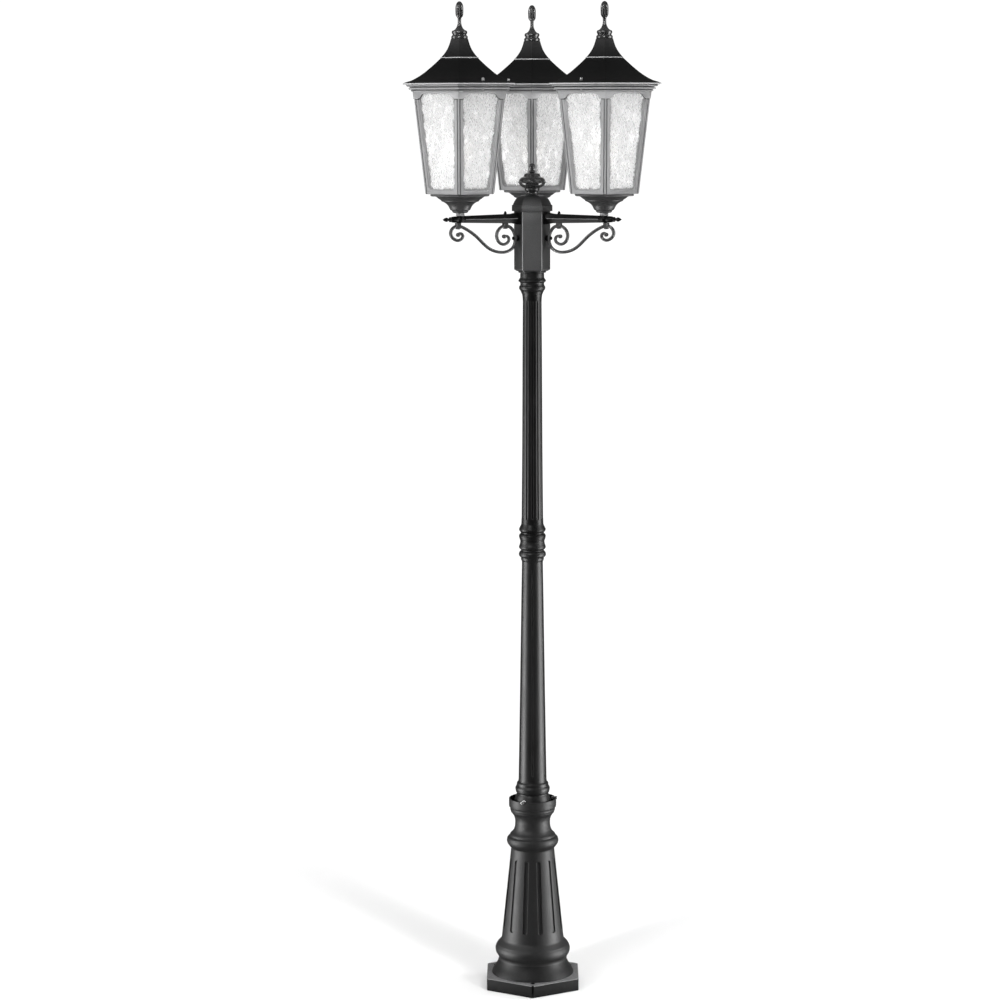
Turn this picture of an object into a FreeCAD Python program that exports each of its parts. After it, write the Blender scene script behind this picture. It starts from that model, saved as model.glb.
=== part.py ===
import FreeCAD, Part
import math
import os
from FreeCAD import Placement, Rotation, Vector

# Triple head lamp post: a cast hexagonal pedestal, a two-piece fluted shaft,
# a hexagonal hub with three arms at 120 degrees, and three hexagonal lanterns.
# Millimetres, +Z up, origin on the post's axis at the underside of the
# pedestal. The free face of the hub looks along -Y.

doc = FreeCAD.newDocument("lamp_post")
sheet = doc.addObject("Spreadsheet::Sheet", "Sizes")


class Q(object):
    """A number together with the sheet expression that it comes from."""

    def __init__(self, value, text):
        self.v = float(value)
        self.e = text

    def _join(self, other, sign, value, flip=False):
        txt = other.e if isinstance(other, Q) else repr(float(other))
        a, b = (txt, self.e) if flip else (self.e, txt)
        return Q(value, "(%s %s %s)" % (a, sign, b))

    def __add__(self, o):
        return self._join(o, "+", self.v + num(o))

    def __radd__(self, o):
        return self._join(o, "+", num(o) + self.v, True)

    def __sub__(self, o):
        return self._join(o, "-", self.v - num(o))

    def __rsub__(self, o):
        return self._join(o, "-", num(o) - self.v, True)

    def __mul__(self, o):
        return self._join(o, "*", self.v * num(o))

    def __rmul__(self, o):
        return self._join(o, "*", num(o) * self.v, True)

    def __truediv__(self, o):
        return self._join(o, "/", self.v / num(o))

    def __neg__(self):
        return Q(-self.v, "(-1 * %s)" % self.e)


def num(x):
    return x.v if isinstance(x, Q) else float(x)


SIZES = [
    # pedestal
    ("plate_radius", 130.2), ("plate_thick", 30.0), ("plate_round", 5.0),
    ("anchor_circle", 107.0), ("anchor_hole", 4.5),
    ("foot_radius", 100.8), ("torus_radius", 92.1), ("cone_low", 76.3), ("cone_high", 53.1),
    ("cone_low_level", 119.0), ("cone_high_level", 343.0),
    ("neck_radius", 42.9), ("cup_radius", 58.0), ("cup_bore", 54.6), ("cup_level", 469.5),
    ("socket_radius", 38.4), ("socket_level", 449.0), ("tenon_level", 395.0),
    ("slot_width", 11.5), ("slot_depth", 4.0), ("slot_low", 142.0), ("slot_high", 321.0),
    ("set_screw", 4.0), ("set_screw_level", 468.6),
    # shaft
    ("tenon_radius", 38.1), ("lower_foot", 34.3), ("lower_top", 25.5),
    ("seam_level", 1108.5), ("shaft_bore", 16.5), ("nipple_seat", 19.2), ("coupling_radius", 19.0),
    ("coupling_half", 40.0), ("upper_foot", 26.8), ("upper_top", 22.8), ("shaft_top", 1716.5),
    ("flute_width", 6.4), ("flute_depth", 1.5), ("groove_width", 4.4),
    ("capital_top", 1760.5), ("hub_tube", 10.0), ("hub_tube_bore", 7.5),
    # hub
    ("hub_free_side", 46.6), ("hub_arm_side", 40.6), ("hub_wall", 4.0), ("hub_low", 1764.0),
    ("hub_high", 1907.0), ("hub_floor", 6.0), ("cap_scale", 1.12), ("cap_band_top", 1921.9),
    ("cap_top", 1945.7), ("cap_finial_top", 2021.0),
    # arms
    ("arm_reach", 196.0), ("arm_level", 1891.4), ("arm_tip", 243.7), ("arm_root_height", 28.0),
    ("arm_end_height", 15.5), ("arm_end_width", 14.5), ("arm_bore", 3.5), ("boss_radius", 9.5),
    ("arm_top_seat", 1899.8), ("arm_low_seat", 1883.4),
    ("scroll_bar", 7.5), ("scroll_depth", 8.0),
    # lantern
    ("tube_radius", 5.0), ("tube_hole", 5.2), ("cup_low", 1906.7), ("frame_low", 1952.4),
    ("frame_high", 2206.0), ("frame_low_radius", 92.0), ("frame_high_radius", 124.9),
    ("frame_wall", 4.6), ("header_low_radius", 124.3), ("header_high_radius", 126.8),
    ("header_low", 2173.5), ("cornice_low", 2190.0), ("eave_radius", 151.4), ("eave_level", 2206.3),
    ("post_width", 12.3), ("window_low", 1962.5), ("window_high", 2185.0),
    ("glass_thick", 3.0), ("roof_top", 2313.0), ("roof_tip_radius", 22.9), ("total_height", 2400.0),
    ("roof_screw_at", 112.0), ("roof_screw_head", 3.5), ("holder_radius", 20.0),
    ("holder_low", 1958.0), ("bulb_radius", 30.0),
]


class Sizes(object):
    pass


S = Sizes()
for i, (alias, value) in enumerate(SIZES, start=1):
    sheet.set("A%d" % i, alias)
    sheet.set("B%d" % i, repr(value))
    sheet.setAlias("B%d" % i, alias)
    setattr(S, alias, Q(value, "Sizes.%s" % alias))
doc.recompute()

PARTS = []


def bind(obj, prop, x):
    """Set a property and tie it to the sheet."""
    head = obj
    if "." not in prop:
        setattr(head, prop, num(x))
    if isinstance(x, Q):
        obj.setExpression(prop, x.e)


def new_body(label, place=None):
    body = doc.addObject("PartDesign::Body", label)
    body.Label = label
    if hasattr(body, "AllowCompound"):
        body.AllowCompound = True
    if place is not None:
        body.Placement = place
    PARTS.append(body)
    return body


def origin(body, role):
    for o in body.Origin.OriginFeatures:
        if o.Role == role:
            return o
    raise RuntimeError("no origin feature %s" % role)


def new_sketch(body, role="XY_Plane", level=None, offset=None):
    sk = body.newObject("Sketcher::SketchObject", body.Name + "_sk")
    sk.AttachmentSupport = [(origin(body, role), "")]
    sk.MapMode = "FlatFace"
    if offset is not None:
        sk.AttachmentOffset = offset
    if level is not None:
        sk.AttachmentOffset = Placement(Vector(0, 0, num(level)), Rotation())
        if isinstance(level, Q):
            sk.setExpression("AttachmentOffset.Base.z", level.e)
    return sk


def add_polygon(sk, points):
    """Closed polyline; every corner is dimensioned from the sketch origin."""
    import Sketcher
    n = len(points)
    xy = [(num(x), num(y)) for x, y in points]
    base = len(sk.Geometry)
    sk.addGeometry([Part.LineSegment(Vector(xy[i][0], xy[i][1], 0),
                                     Vector(xy[(i + 1) % n][0], xy[(i + 1) % n][1], 0))
                    for i in range(n)], False)
    sk.addConstraint([Sketcher.Constraint("Coincident", base + i, 2, base + (i + 1) % n, 1)
                      for i in range(n)])
    for i, (x, y) in enumerate(points):
        for kind, value, axis in (("DistanceX", x, -2), ("DistanceY", y, -1)):
            v = num(value)
            if abs(v) < 1e-9:
                sk.addConstraint(Sketcher.Constraint("PointOnObject", base + i, 1, axis))
                continue
            if v > 0:
                k = sk.addConstraint(Sketcher.Constraint(kind, -1, 1, base + i, 1, v))
                e = value
            else:
                k = sk.addConstraint(Sketcher.Constraint(kind, base + i, 1, -1, 1, -v))
                e = -value
            if isinstance(value, Q):
                sk.setExpression("Constraints[%d]" % k, e.e)


def add_hexagon(sk, radius, start=-90.0):
    """Regular hexagon about the sketch origin, a corner on the vertical axis."""
    pts = []
    for k in range(6):
        a = math.radians(start + 60.0 * k)
        c, s_ = math.cos(a), math.sin(a)
        pts.append((0.0 if abs(c) < 1e-9 else radius * c, 0.0 if abs(s_) < 1e-9 else radius * s_))
    add_polygon(sk, pts)


def add_circle(sk, x, y, radius):
    import Sketcher
    g = sk.addGeometry(Part.Circle(Vector(num(x), num(y), 0), Vector(0, 0, 1), num(radius)), False)
    k = sk.addConstraint(Sketcher.Constraint("Radius", g, num(radius)))
    if isinstance(radius, Q):
        sk.setExpression("Constraints[%d]" % k, radius.e)
    for kind, value, axis in (("DistanceX", x, -2), ("DistanceY", y, -1)):
        v = num(value)
        if abs(v) < 1e-9:
            sk.addConstraint(Sketcher.Constraint("PointOnObject", g, 3, axis))
        elif v > 0:
            k = sk.addConstraint(Sketcher.Constraint(kind, -1, 1, g, 3, v))
            if isinstance(value, Q):
                sk.setExpression("Constraints[%d]" % k, value.e)
        else:
            k = sk.addConstraint(Sketcher.Constraint(kind, g, 3, -1, 1, -v))
            if isinstance(value, Q):
                sk.setExpression("Constraints[%d]" % k, (-value).e)


def add_slot(sk, low, high, width):
    """Upright slot with round ends, centred on the vertical axis."""
    import Sketcher
    r, a, b = num(width) / 2.0, num(low), num(high)
    sk.addGeometry([
        Part.LineSegment(Vector(r, a + r, 0), Vector(r, b - r, 0)),
        Part.ArcOfCircle(Part.Circle(Vector(0, b - r, 0), Vector(0, 0, 1), r), 0, math.pi),
        Part.LineSegment(Vector(-r, b - r, 0), Vector(-r, a + r, 0)),
        Part.ArcOfCircle(Part.Circle(Vector(0, a + r, 0), Vector(0, 0, 1), r), math.pi, 2 * math.pi)],
        False)
    sk.addConstraint([Sketcher.Constraint("Tangent", 0, 2, 1, 1), Sketcher.Constraint("Tangent", 1, 2, 2, 1),
                      Sketcher.Constraint("Tangent", 2, 2, 3, 1), Sketcher.Constraint("Tangent", 3, 2, 0, 1)])
    k = sk.addConstraint(Sketcher.Constraint("Radius", 1, r))
    if isinstance(width, Q):
        sk.setExpression("Constraints[%d]" % k, (width / 2.0).e)


def feature(body, kind):
    return body.newObject("PartDesign::" + kind, body.Name + "_" + kind)


def pad(body, sk, length, both=False, reverse=False):
    f = feature(body, "Pad")
    f.Profile = sk
    bind(f, "Length", length)
    if both:
        f.SideType = "Symmetric" if hasattr(f, "SideType") else None
    f.Reversed = reverse
    body.Tip = f
    return f


def pocket(body, sk, length, reverse=False):
    f = feature(body, "Pocket")
    f.Profile = sk
    bind(f, "Length", length)
    f.Reversed = reverse
    body.Tip = f
    return f


def revolve(body, points, cut=False):
    """Turn an (r, z) outline about the post's or lantern's own axis."""
    sk = new_sketch(body, "XZ_Plane")
    add_polygon(sk, points)
    f = feature(body, "Groove" if cut else "Revolution")
    f.Profile = sk
    f.ReferenceAxis = (sk, ["V_Axis"])
    f.Angle = 360.0
    body.Tip = f
    return f


def loft(body, sections, cut=False):
    f = feature(body, "SubtractiveLoft" if cut else "AdditiveLoft")
    f.Profile = sections[0]
    f.Sections = sections[1:]
    f.Ruled = True
    body.Tip = f
    return f


def hex_loft(body, rows, cut=False):
    """Ruled loft through regular hexagons given as (radius, level)."""
    sections = []
    for radius, level in rows:
        sk = new_sketch(body, "XY_Plane", level=level)
        add_hexagon(sk, radius)
        sections.append(sk)
    return loft(body, sections, cut)


def cyl(body, radius, height, place, cut=False, cone=None):
    kind = ("Subtractive" if cut else "Additive") + ("Cone" if cone is not None else "Cylinder")
    f = feature(body, kind)
    if cone is not None:
        bind(f, "Radius1", radius)
        bind(f, "Radius2", cone)
    else:
        bind(f, "Radius", radius)
    bind(f, "Height", height)
    f.Placement = place
    body.Tip = f
    return f


def box(body, lx, ly, lz, place, cut=False):
    f = feature(body, ("Subtractive" if cut else "Additive") + "Box")
    bind(f, "Length", lx)
    bind(f, "Width", ly)
    bind(f, "Height", lz)
    f.Placement = place
    body.Tip = f
    return f


def ring_copies(body, feats, count, start_tip=True):
    f = feature(body, "PolarPattern")
    f.Originals = feats if isinstance(feats, list) else [feats]
    f.Axis = (origin(body, "Z_Axis"), [""])
    f.Angle = 360.0
    f.Occurrences = count
    body.Tip = f
    return f


def at(x, y, z, axis=None, angle=0.0):
    return Placement(Vector(num(x), num(y), num(z)),
                     Rotation(axis if axis is not None else Vector(0, 0, 1), angle))


def radial(angle, reach, level):
    """Placement whose Z axis points outwards at an azimuth."""
    a = math.radians(angle)
    return Placement(Vector(num(reach) * math.cos(a), num(reach) * math.sin(a), num(level)),
                     Rotation(Vector(0, 0, 1), Vector(math.cos(a), math.sin(a), 0)))


def upright_at(angle, reach, level):
    """Placement with Z up, at an azimuth and a reach."""
    a = math.radians(angle)
    return Placement(Vector(num(reach) * math.cos(a), num(reach) * math.sin(a), num(level)), Rotation())


PROUD = 1.0


def beside(angle, reach, side, level):
    """Radial placement moved sideways."""
    return Placement(Vector(0, 0, 0), Rotation(Vector(0, 0, 1), angle)) * \
        Placement(Vector(num(reach), num(side), num(level)), Rotation(Vector(0, 0, 1), Vector(1, 0, 0)))


def slope_plane(r_low, z_low, r_high, z_high, azimuth):
    """Sketch plane lying on a cone's side: local y runs up the slope."""
    al = math.degrees(math.atan2(num(r_low) - num(r_high), num(z_high) - num(z_low)))
    return Placement(Vector(0, 0, 0), Rotation(Vector(0, 1, 0), azimuth)) * \
        Placement(Vector(0, num(z_low), num(r_low) + PROUD), Rotation(Vector(1, 0, 0), -al))


def flutes(body, r_low, z_low, r_high, z_high, low, high, width, depth, first, count):
    sk = new_sketch(body, "YZ_Plane", offset=slope_plane(r_low, z_low, r_high, z_high, first))
    add_slot(sk, num(low) - num(z_low), num(high) - num(z_low), width)
    f = pocket(body, sk, depth + PROUD)
    return ring_copies(body, f, count)


# ---------------------------------------------------------------- pedestal
b = new_body("base_pedestal")
sk = new_sketch(b)
add_hexagon(sk, S.plate_radius)
f = pad(b, sk, S.plate_thick)
doc.recompute()
upright = []
for i, e in enumerate(f.Shape.Edges, start=1):
    p, q = e.Vertexes[0].Point, e.Vertexes[-1].Point
    if abs(p.x - q.x) < 1e-6 and abs(p.y - q.y) < 1e-6:
        upright.append("Edge%d" % i)
fil = feature(b, "Fillet")
fil.Base = (f, upright)
bind(fil, "Radius", S.plate_round)
b.Tip = fil
zl, zh = S.cone_low_level, S.cone_high_level
revolve(b, [
    (0, S.plate_thick - 8), (S.foot_radius, S.plate_thick - 8), (S.foot_radius, S.plate_thick),
    (S.foot_radius - 1.6, 34.5), (S.foot_radius - 5.0, 40.6), (S.foot_radius - 9.0, 46.5),
    (S.foot_radius - 12.3, 52.0), (S.foot_radius - 15.2, 58.5), (S.foot_radius - 16.8, 64.5),
    (S.foot_radius - 16.4, 70.3), (86.7, 75.4), (89.3, 78.8), (91.0, 83.0), (S.torus_radius - 0.1, 87.8),
    (S.torus_radius, 91.5), (91.3, 95.6), (89.9, 99.2), (87.3, 103.6), (85.1, 106.0), (82.6, 108.7),
    (80.3, 111.2), (78.1, 113.8), (76.8, 116.4), (S.cone_low, zl), (66.8, 210.6), (58.8, 287.0),
    (S.cone_high, zh), (53.3, 345.2), (54.6, 347.7), (57.2, 350.2), (60.4, 354.8), (62.3, 358.2),
    (63.4, 363.0), (63.3, 366.0), (62.2, 370.3), (60.2, 373.0), (57.4, 375.4), (56.1, 378.0),
    (54.8, 380.6), (52.3, 383.1), (49.8, 385.6), (47.9, 388.1), (46.3, 390.8), (45.2, 393.4),
    (43.9, 398.0), (S.neck_radius + 0.2, 404.0), (S.neck_radius, 412.0), (43.4, 417.0), (44.4, 421.2),
    (46.3, 426.2), (49.5, 431.2), (52.4, 435.0), (54.1, 438.8), (54.4, 444.0), (56.4, 448.0),
    (S.cup_radius, 451.5), (S.cup_radius, S.cup_level - 1.0), (S.cup_radius - 1.0, S.cup_level),
    (0, S.cup_level)])
revolve(b, [
    (0, -1.0), (66.0, -1.0), (66.0, 112.0), (57.0, 210.0), (49.2, 287.0), (43.6, 341.0),
    (33.0, 372.0), (33.0, S.tenon_level), (S.socket_radius, S.tenon_level),
    (S.socket_radius, S.socket_level), (S.cup_bore, S.socket_level),
    (S.cup_bore, S.cup_level + 1.0), (0, S.cup_level + 1.0)], cut=True)
for ang in (270.0, 30.0, 150.0):
    cyl(b, S.anchor_hole, S.plate_thick + 2, upright_at(ang, S.anchor_circle, -1), cut=True)
cyl(b, 3.0, S.plate_thick, at(0, -(S.plate_radius - 0.6), 8.0), cut=True)
for ang in (245.0, 5.0, 125.0):
    cyl(b, S.set_screw + 0.2, 14.0, radial(ang, 50, S.set_screw_level), cut=True)
flutes(b, S.cone_low, zl, S.cone_high, zh, S.slot_low, S.slot_high, S.slot_width, S.slot_depth, 15.0, 12)

# three grub screws in notches of the cup's rim, tips on the shaft's foot
b = new_body("base_set_screws")
for ang in (245.0, 5.0, 125.0):
    cyl(b, S.set_screw, 15.0, radial(ang, 46.0, S.set_screw_level))
    cyl(b, 2.2, 4.0, radial(ang, 57.5, S.set_screw_level), cut=True)

# ---------------------------------------------------------------- shaft
b = new_body("lower_shaft")
cb = S.seam_level - S.coupling_half
revolve(b, [
    (S.shaft_bore + 3.5, S.tenon_level), (S.tenon_radius, S.tenon_level), (S.tenon_radius, S.socket_level),
    (47.0, S.socket_level), (47.0, 459.0), (45.6, 464.0), (42.8, 471.5), (40.2, 478.6), (38.5, 481.5),
    (38.9, 484.2), (40.6, 485.6), (41.7, 489.8), (42.4, 493.8), (41.9, 497.8), (39.6, 501.4),
    (38.9, 504.0), (38.6, 508.0), (37.0, 510.4), (35.4, 512.2), (34.5, 517.0), (S.lower_foot, 521.0),
    (33.0, 589.0), (31.8, 665.0), (30.5, 740.0), (29.4, 814.0), (28.2, 889.0), (27.1, 963.0),
    (25.7, 1040.0), (S.lower_top, 1057.0), (25.9, 1059.4), (27.0, 1061.8), (27.8, 1064.0), (28.0, 1068.0),
    (29.0, 1069.8), (31.4, 1071.8), (32.7, 1074.4), (32.9, 1077.0), (32.4, 1080.0), (30.4, 1083.6),
    (28.0, 1085.4), (27.8, 1087.4), (29.2, 1089.0), (31.5, 1091.2), (32.6, 1093.8), (32.3, 1096.4),
    (31.4, 1099.2), (30.2, 1102.4), (29.6, 1106.0), (29.5, S.seam_level), (S.nipple_seat, S.seam_level),
    (S.nipple_seat, cb), (S.shaft_bore + 0.5, cb)])
flutes(b, S.lower_foot, 521.0, 25.7, 1040.0, 529.0, 1041.0, S.groove_width, S.flute_depth, 30.0, 6)

b = new_body("shaft_coupling")
revolve(b, [(15.5, cb + 0.1), (S.coupling_radius, cb + 0.1),
            (S.coupling_radius, S.seam_level + S.coupling_half - 0.1),
            (15.5, S.seam_level + S.coupling_half - 0.1)])

b = new_body("upper_shaft")
ct = S.seam_level + S.coupling_half
revolve(b, [
    (S.nipple_seat, S.seam_level), (29.5, S.seam_level), (29.8, 1111.2), (30.8, 1113.6), (32.0, 1118.0),
    (32.6, 1121.0), (32.1, 1123.4), (31.0, 1125.8), (28.6, 1127.8), (28.1, 1129.6), (28.9, 1131.4),
    (30.6, 1133.2), (31.9, 1135.6), (32.4, 1138.0), (31.7, 1140.5), (30.4, 1143.0), (29.1, 1145.6),
    (28.0, 1147.9), (27.1, 1150.4), (S.upper_foot, 1153.0), (26.2, 1170.0), (25.4, 1258.0),
    (24.8, 1331.0), (24.4, 1404.0), (24.05, 1477.0), (23.75, 1550.0), (23.3, 1622.0),
    (S.upper_top, 1694.0), (23.3, 1701.5), (23.9, 1705.8), (24.6, 1709.0), (25.9, 1711.4),
    (26.7, 1713.8), (28.0, S.shaft_top), (S.shaft_bore, S.shaft_top), (S.shaft_bore, ct), (S.nipple_seat, ct)])
flutes(b, 26.4, 1160.0, S.upper_top, 1694.0, 1163.0, 1693.0, S.flute_width, S.flute_depth, 0.0, 12)

b = new_body("shaft_capital")
revolve(b, [
    (12.5, S.shaft_top - 30), (S.shaft_bore - 0.3, S.shaft_top - 30), (S.shaft_bore - 0.3, S.shaft_top),
    (28.1, S.shaft_top), (29.4, 1718.6), (31.0, 1720.8), (31.6, 1723.4), (31.4, 1725.8), (30.6, 1728.2),
    (28.8, 1730.5), (28.8, 1735.4), (30.2, 1737.5), (33.4, 1739.8), (33.1, 1741.4), (31.2, 1744.9),
    (29.4, 1747.3), (28.8, 1749.7), (28.8, 1757.0), (28.2, S.capital_top), (S.hub_tube + 0.2, S.capital_top),
    (S.hub_tube + 0.2, 1742.0), (12.5, 1736.0)])

b = new_body("hub_seat_washer")
revolve(b, [(S.hub_tube + 0.2, S.capital_top), (33.3, S.capital_top), (33.3, S.hub_low - 0.8),
            (32.5, S.hub_low), (S.hub_tube + 0.2, S.hub_low)])

b = new_body("hub_tube_nipple")
revolve(b, [(S.hub_tube_bore, 1743.0), (S.hub_tube, 1743.0), (S.hub_tube, 1784.0), (S.hub_tube_bore, 1784.0)])

b = new_body("hub_lock_nut")
sk = new_sketch(b, level=S.hub_low + S.hub_floor)
add_hexagon(sk, 16.2)
add_circle(sk, 0, 0, S.hub_tube + 0.15)
pad(b, sk, 9.0)

# ---------------------------------------------------------------- hub
R3 = math.sqrt(3.0)


def hub_points(a, bb):
    """Hexagon with equal angles: free sides a, arm sides bb; arm side at +Y."""
    da = (a + bb * 2.0) / (2.0 * R3)
    db = (a * 2.0 + bb) / (2.0 * R3)
    yk = bb * (R3 / 2.0) - da
    w = (a + bb) / 2.0
    return [(-(a / 2.0), -da), (a / 2.0, -da), (w, yk), (bb / 2.0, db), (-(bb / 2.0), db), (-w, yk)]


def hub_ring(offset):
    """Hub outline moved inwards by an offset."""
    d = offset * (2.0 / R3)
    return hub_points(S.hub_free_side - d, S.hub_arm_side - d)


def hub_scaled(k):
    return hub_points(S.hub_free_side * k, S.hub_arm_side * k)


hub_face = (S.hub_free_side * 2.0 + S.hub_arm_side) / (2.0 * R3)

b = new_body("hub_box")
sk0 = new_sketch(b, level=S.hub_low)
add_polygon(sk0, hub_scaled(0.84))
sk1 = new_sketch(b, level=S.hub_low + 4.0)
add_polygon(sk1, hub_scaled(1.0))
loft(b, [sk0, sk1])
sk = new_sketch(b, level=S.hub_low + 4.0)
add_polygon(sk, hub_scaled(1.0))
pad(b, sk, S.hub_high - S.hub_low - 4.0)
sk = new_sketch(b, level=S.hub_low + S.hub_floor)
add_polygon(sk, hub_ring(S.hub_wall))
pocket(b, sk, S.hub_high - S.hub_low, reverse=True)
cyl(b, S.hub_tube + 0.2, 20.0, at(0, 0, S.hub_low - 5), cut=True)
for ang in (90.0, 210.0, 330.0):
    cyl(b, 4.4, 8.0, radial(ang, 33.5, S.arm_level), cut=True)
    for side in (-7.9, 7.9):
        cyl(b, 2.7, 8.0, beside(ang, 33.5, side, S.arm_level), cut=True)
    cyl(b, 2.3, 8.0, radial(ang, 33.5, 1843.5), cut=True)

# block that joins the supply cable to the three lantern leads
b = new_body("terminal_block")
sk = new_sketch(b, level=S.hub_low + S.hub_floor + 16.0)
add_polygon(sk, [(-20, -9), (20, -9), (20, 9), (-20, 9)])
pad(b, sk, 14.0)
sk = new_sketch(b, level=S.hub_low + S.hub_floor + 30.0)
add_polygon(sk, [(-20, -5), (20, -5), (20, 5), (-20, 5)])
pad(b, sk, 6.0)
for x in (-20.0, 16.0):
    box(b, 4.0, 8.0, 16.0, at(x, -4.0, num(S.hub_low) + num(S.hub_floor)))

# bridge and rod that the cap's finial screws down on
b = new_body("cap_bridge_rod")
sk = new_sketch(b, level=1862.0)
add_polygon(sk, [(-7, -32.8), (7, -32.8), (7, 34.5), (-7, 34.5)])
pad(b, sk, 4.0)
sk = new_sketch(b, level=1862.0)
add_circle(sk, 0, 0, 3.0)
pad(b, sk, 108.0)

b = new_body("hub_cap")
rows = [(S.cap_scale, S.hub_high), (S.cap_scale, S.cap_band_top), (1.045, S.cap_band_top + 2.0), (0.993, 1929.2),
        (0.928, 1934.4), (0.826, 1939.6), (0.72, 1943.4), (0.60, S.cap_top)]
secs = []
for k, zz in rows:
    sk = new_sketch(b, level=zz)
    add_polygon(sk, hub_scaled(k))
    secs.append(sk)
loft(b, secs)
sk = new_sketch(b, level=S.hub_high - 6.0)
add_polygon(sk, hub_ring(S.hub_wall + 0.5))
pad(b, sk, 6.5)
secs = []
for k, zz in [(0.80, S.hub_high - 7.0), (0.80, 1922.0), (0.70, 1934.0), (0.54, 1940.0)]:
    sk = new_sketch(b, level=zz)
    add_polygon(sk, hub_scaled(k))
    secs.append(sk)
loft(b, secs, cut=True)
cyl(b, 3.4, 20.0, at(0, 0, 1930), cut=True)

b = new_body("hub_finial")
revolve(b, [
    (0, S.cap_top), (13.6, S.cap_top), (14.4, 1947.0), (14.3, 1949.4), (13.5, 1950.4), (13.9, 1953.0),
    (15.6, 1955.6), (17.6, 1957.4), (17.9, 1959.6), (17.3, 1961.4), (21.5, 1963.2), (25.6, 1965.6),
    (29.0, 1968.8), (31.2, 1972.4), (31.6, 1974.2), (34.0, 1975.2), (34.0, 1976.8), (31.4, 1977.8),
    (30.8, 1981.0), (28.6, 1984.6), (25.4, 1987.4), (20.4, 1989.6), (19.6, 1991.6), (18.8, 1994.2),
    (16.6, 1996.6), (12.4, 1998.0), (6.4, 1998.6), (7.6, 2000.2), (7.8, 2002.0), (7.0, 2003.8),
    (4.6, 2005.4), (4.8, 2007.0), (6.6, 2009.2), (7.5, 2012.4), (7.5, 2014.8), (6.6, 2018.0),
    (4.6, 2020.0), (2.4, S.cap_finial_top - 0.2), (0, S.cap_finial_top)])
revolve(b, [(0, S.cap_top - 1), (3.4, S.cap_top - 1), (3.4, 1971.5), (0, 1971.5)], cut=True)

# ---------------------------------------------------------------- arms
ARMS = (("left", 210.0), ("right", 330.0), ("rear", 90.0))


def ridge_section(body, u, width, height, centre):
    """Arm section: flat top and bottom, a ridge along each flank."""
    sk = new_sketch(body, "YZ_Plane", level=u)
    w2, h2, wt = width / 2.0, height / 2.0, width / 3.4
    add_polygon(sk, [(-wt, centre - h2), (wt, centre - h2), (w2, centre), (wt, centre + h2),
                     (-wt, centre + h2), (-w2, centre)])
    return sk


for tag, ang in ARMS:
    b = new_body("arm_" + tag, Placement(Vector(0, 0, 0), Rotation(Vector(0, 0, 1), ang)))
    zc = S.arm_level
    sk = new_sketch(b, "YZ_Plane", level=hub_face + 0.02)
    add_polygon(sk, [(-13.3, zc - 15.2), (13.3, zc - 15.2), (13.3, zc + 13.8), (-13.3, zc + 13.8)])
    pad(b, sk, 3.2)
    loft(b, [ridge_section(b, hub_face + 3.0, 24.0, S.arm_root_height, zc - 0.6),
             ridge_section(b, 51.0, 21.5, 25.0, zc - 0.6),
             ridge_section(b, 60.0, 19.5, 22.4, zc - 0.7),
             ridge_section(b, 80.0, 18.6, 21.4, zc - 0.7),
             ridge_section(b, 205.0, S.arm_end_width, S.arm_end_height, zc + 0.1)])
    sk = new_sketch(b, "XY_Plane", level=S.arm_low_seat)
    add_circle(sk, S.arm_reach, 0, S.boss_radius)
    pad(b, sk, S.arm_top_seat - S.arm_low_seat)
    # turned end: ring, neck, bead and point, about the arm's own axis
    sk = new_sketch(b, "XZ_Plane", offset=Placement(Vector(0, num(zc), 0), Rotation()))
    add_polygon(sk, [(203.0, 0), (203.0, 7.0), (209.0, 7.5), (215.0, 7.2), (219.0, 6.4), (221.5, 5.2),
                     (222.4, 5.9), (224.2, 5.9), (225.0, 4.6), (227.4, 3.3), (229.2, 3.5), (231.0, 4.6),
                     (233.4, 5.0), (236.0, 4.5), (239.0, 3.0), (241.6, 1.4), (S.arm_tip, 0)])
    f = feature(b, "Revolution")
    f.Profile = sk
    f.ReferenceAxis = (sk, ["H_Axis"])
    f.Angle = 360.0
    b.Tip = f
    # bud on the arm's back
    cyl(b, 4.4, 3.4, at(74.0, 0, zc + 9.0))
    cyl(b, 4.4, 5.0, at(74.0, 0, zc + 12.4), cone=1.4)
    along = Rotation(Vector(0, 0, 1), Vector(1, 0, 0))
    cyl(b, S.arm_bore, 160.0, Placement(Vector(36.0, 0, num(zc)), along), cut=True)
    cyl(b, S.tube_hole, 30.0, at(S.arm_reach, 0, num(zc) - 15), cut=True)
    for side in (-7.9, 7.9):
        cyl(b, 2.6, 11.0, Placement(Vector(36.0, side, num(zc)), along), cut=True)

# bolts that hold the arms, heads inside the hub
b = new_body("arm_bolts")
for ang in (90.0, 210.0, 330.0):
    for side in (-7.9, 7.9):
        cyl(b, 2.5, 12.0, beside(ang, num(hub_face) - num(S.hub_wall) - 0.3, side, S.arm_level))
        cyl(b, 4.1, 3.4, beside(ang, num(hub_face) - num(S.hub_wall) - 3.45, side, S.arm_level))

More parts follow.
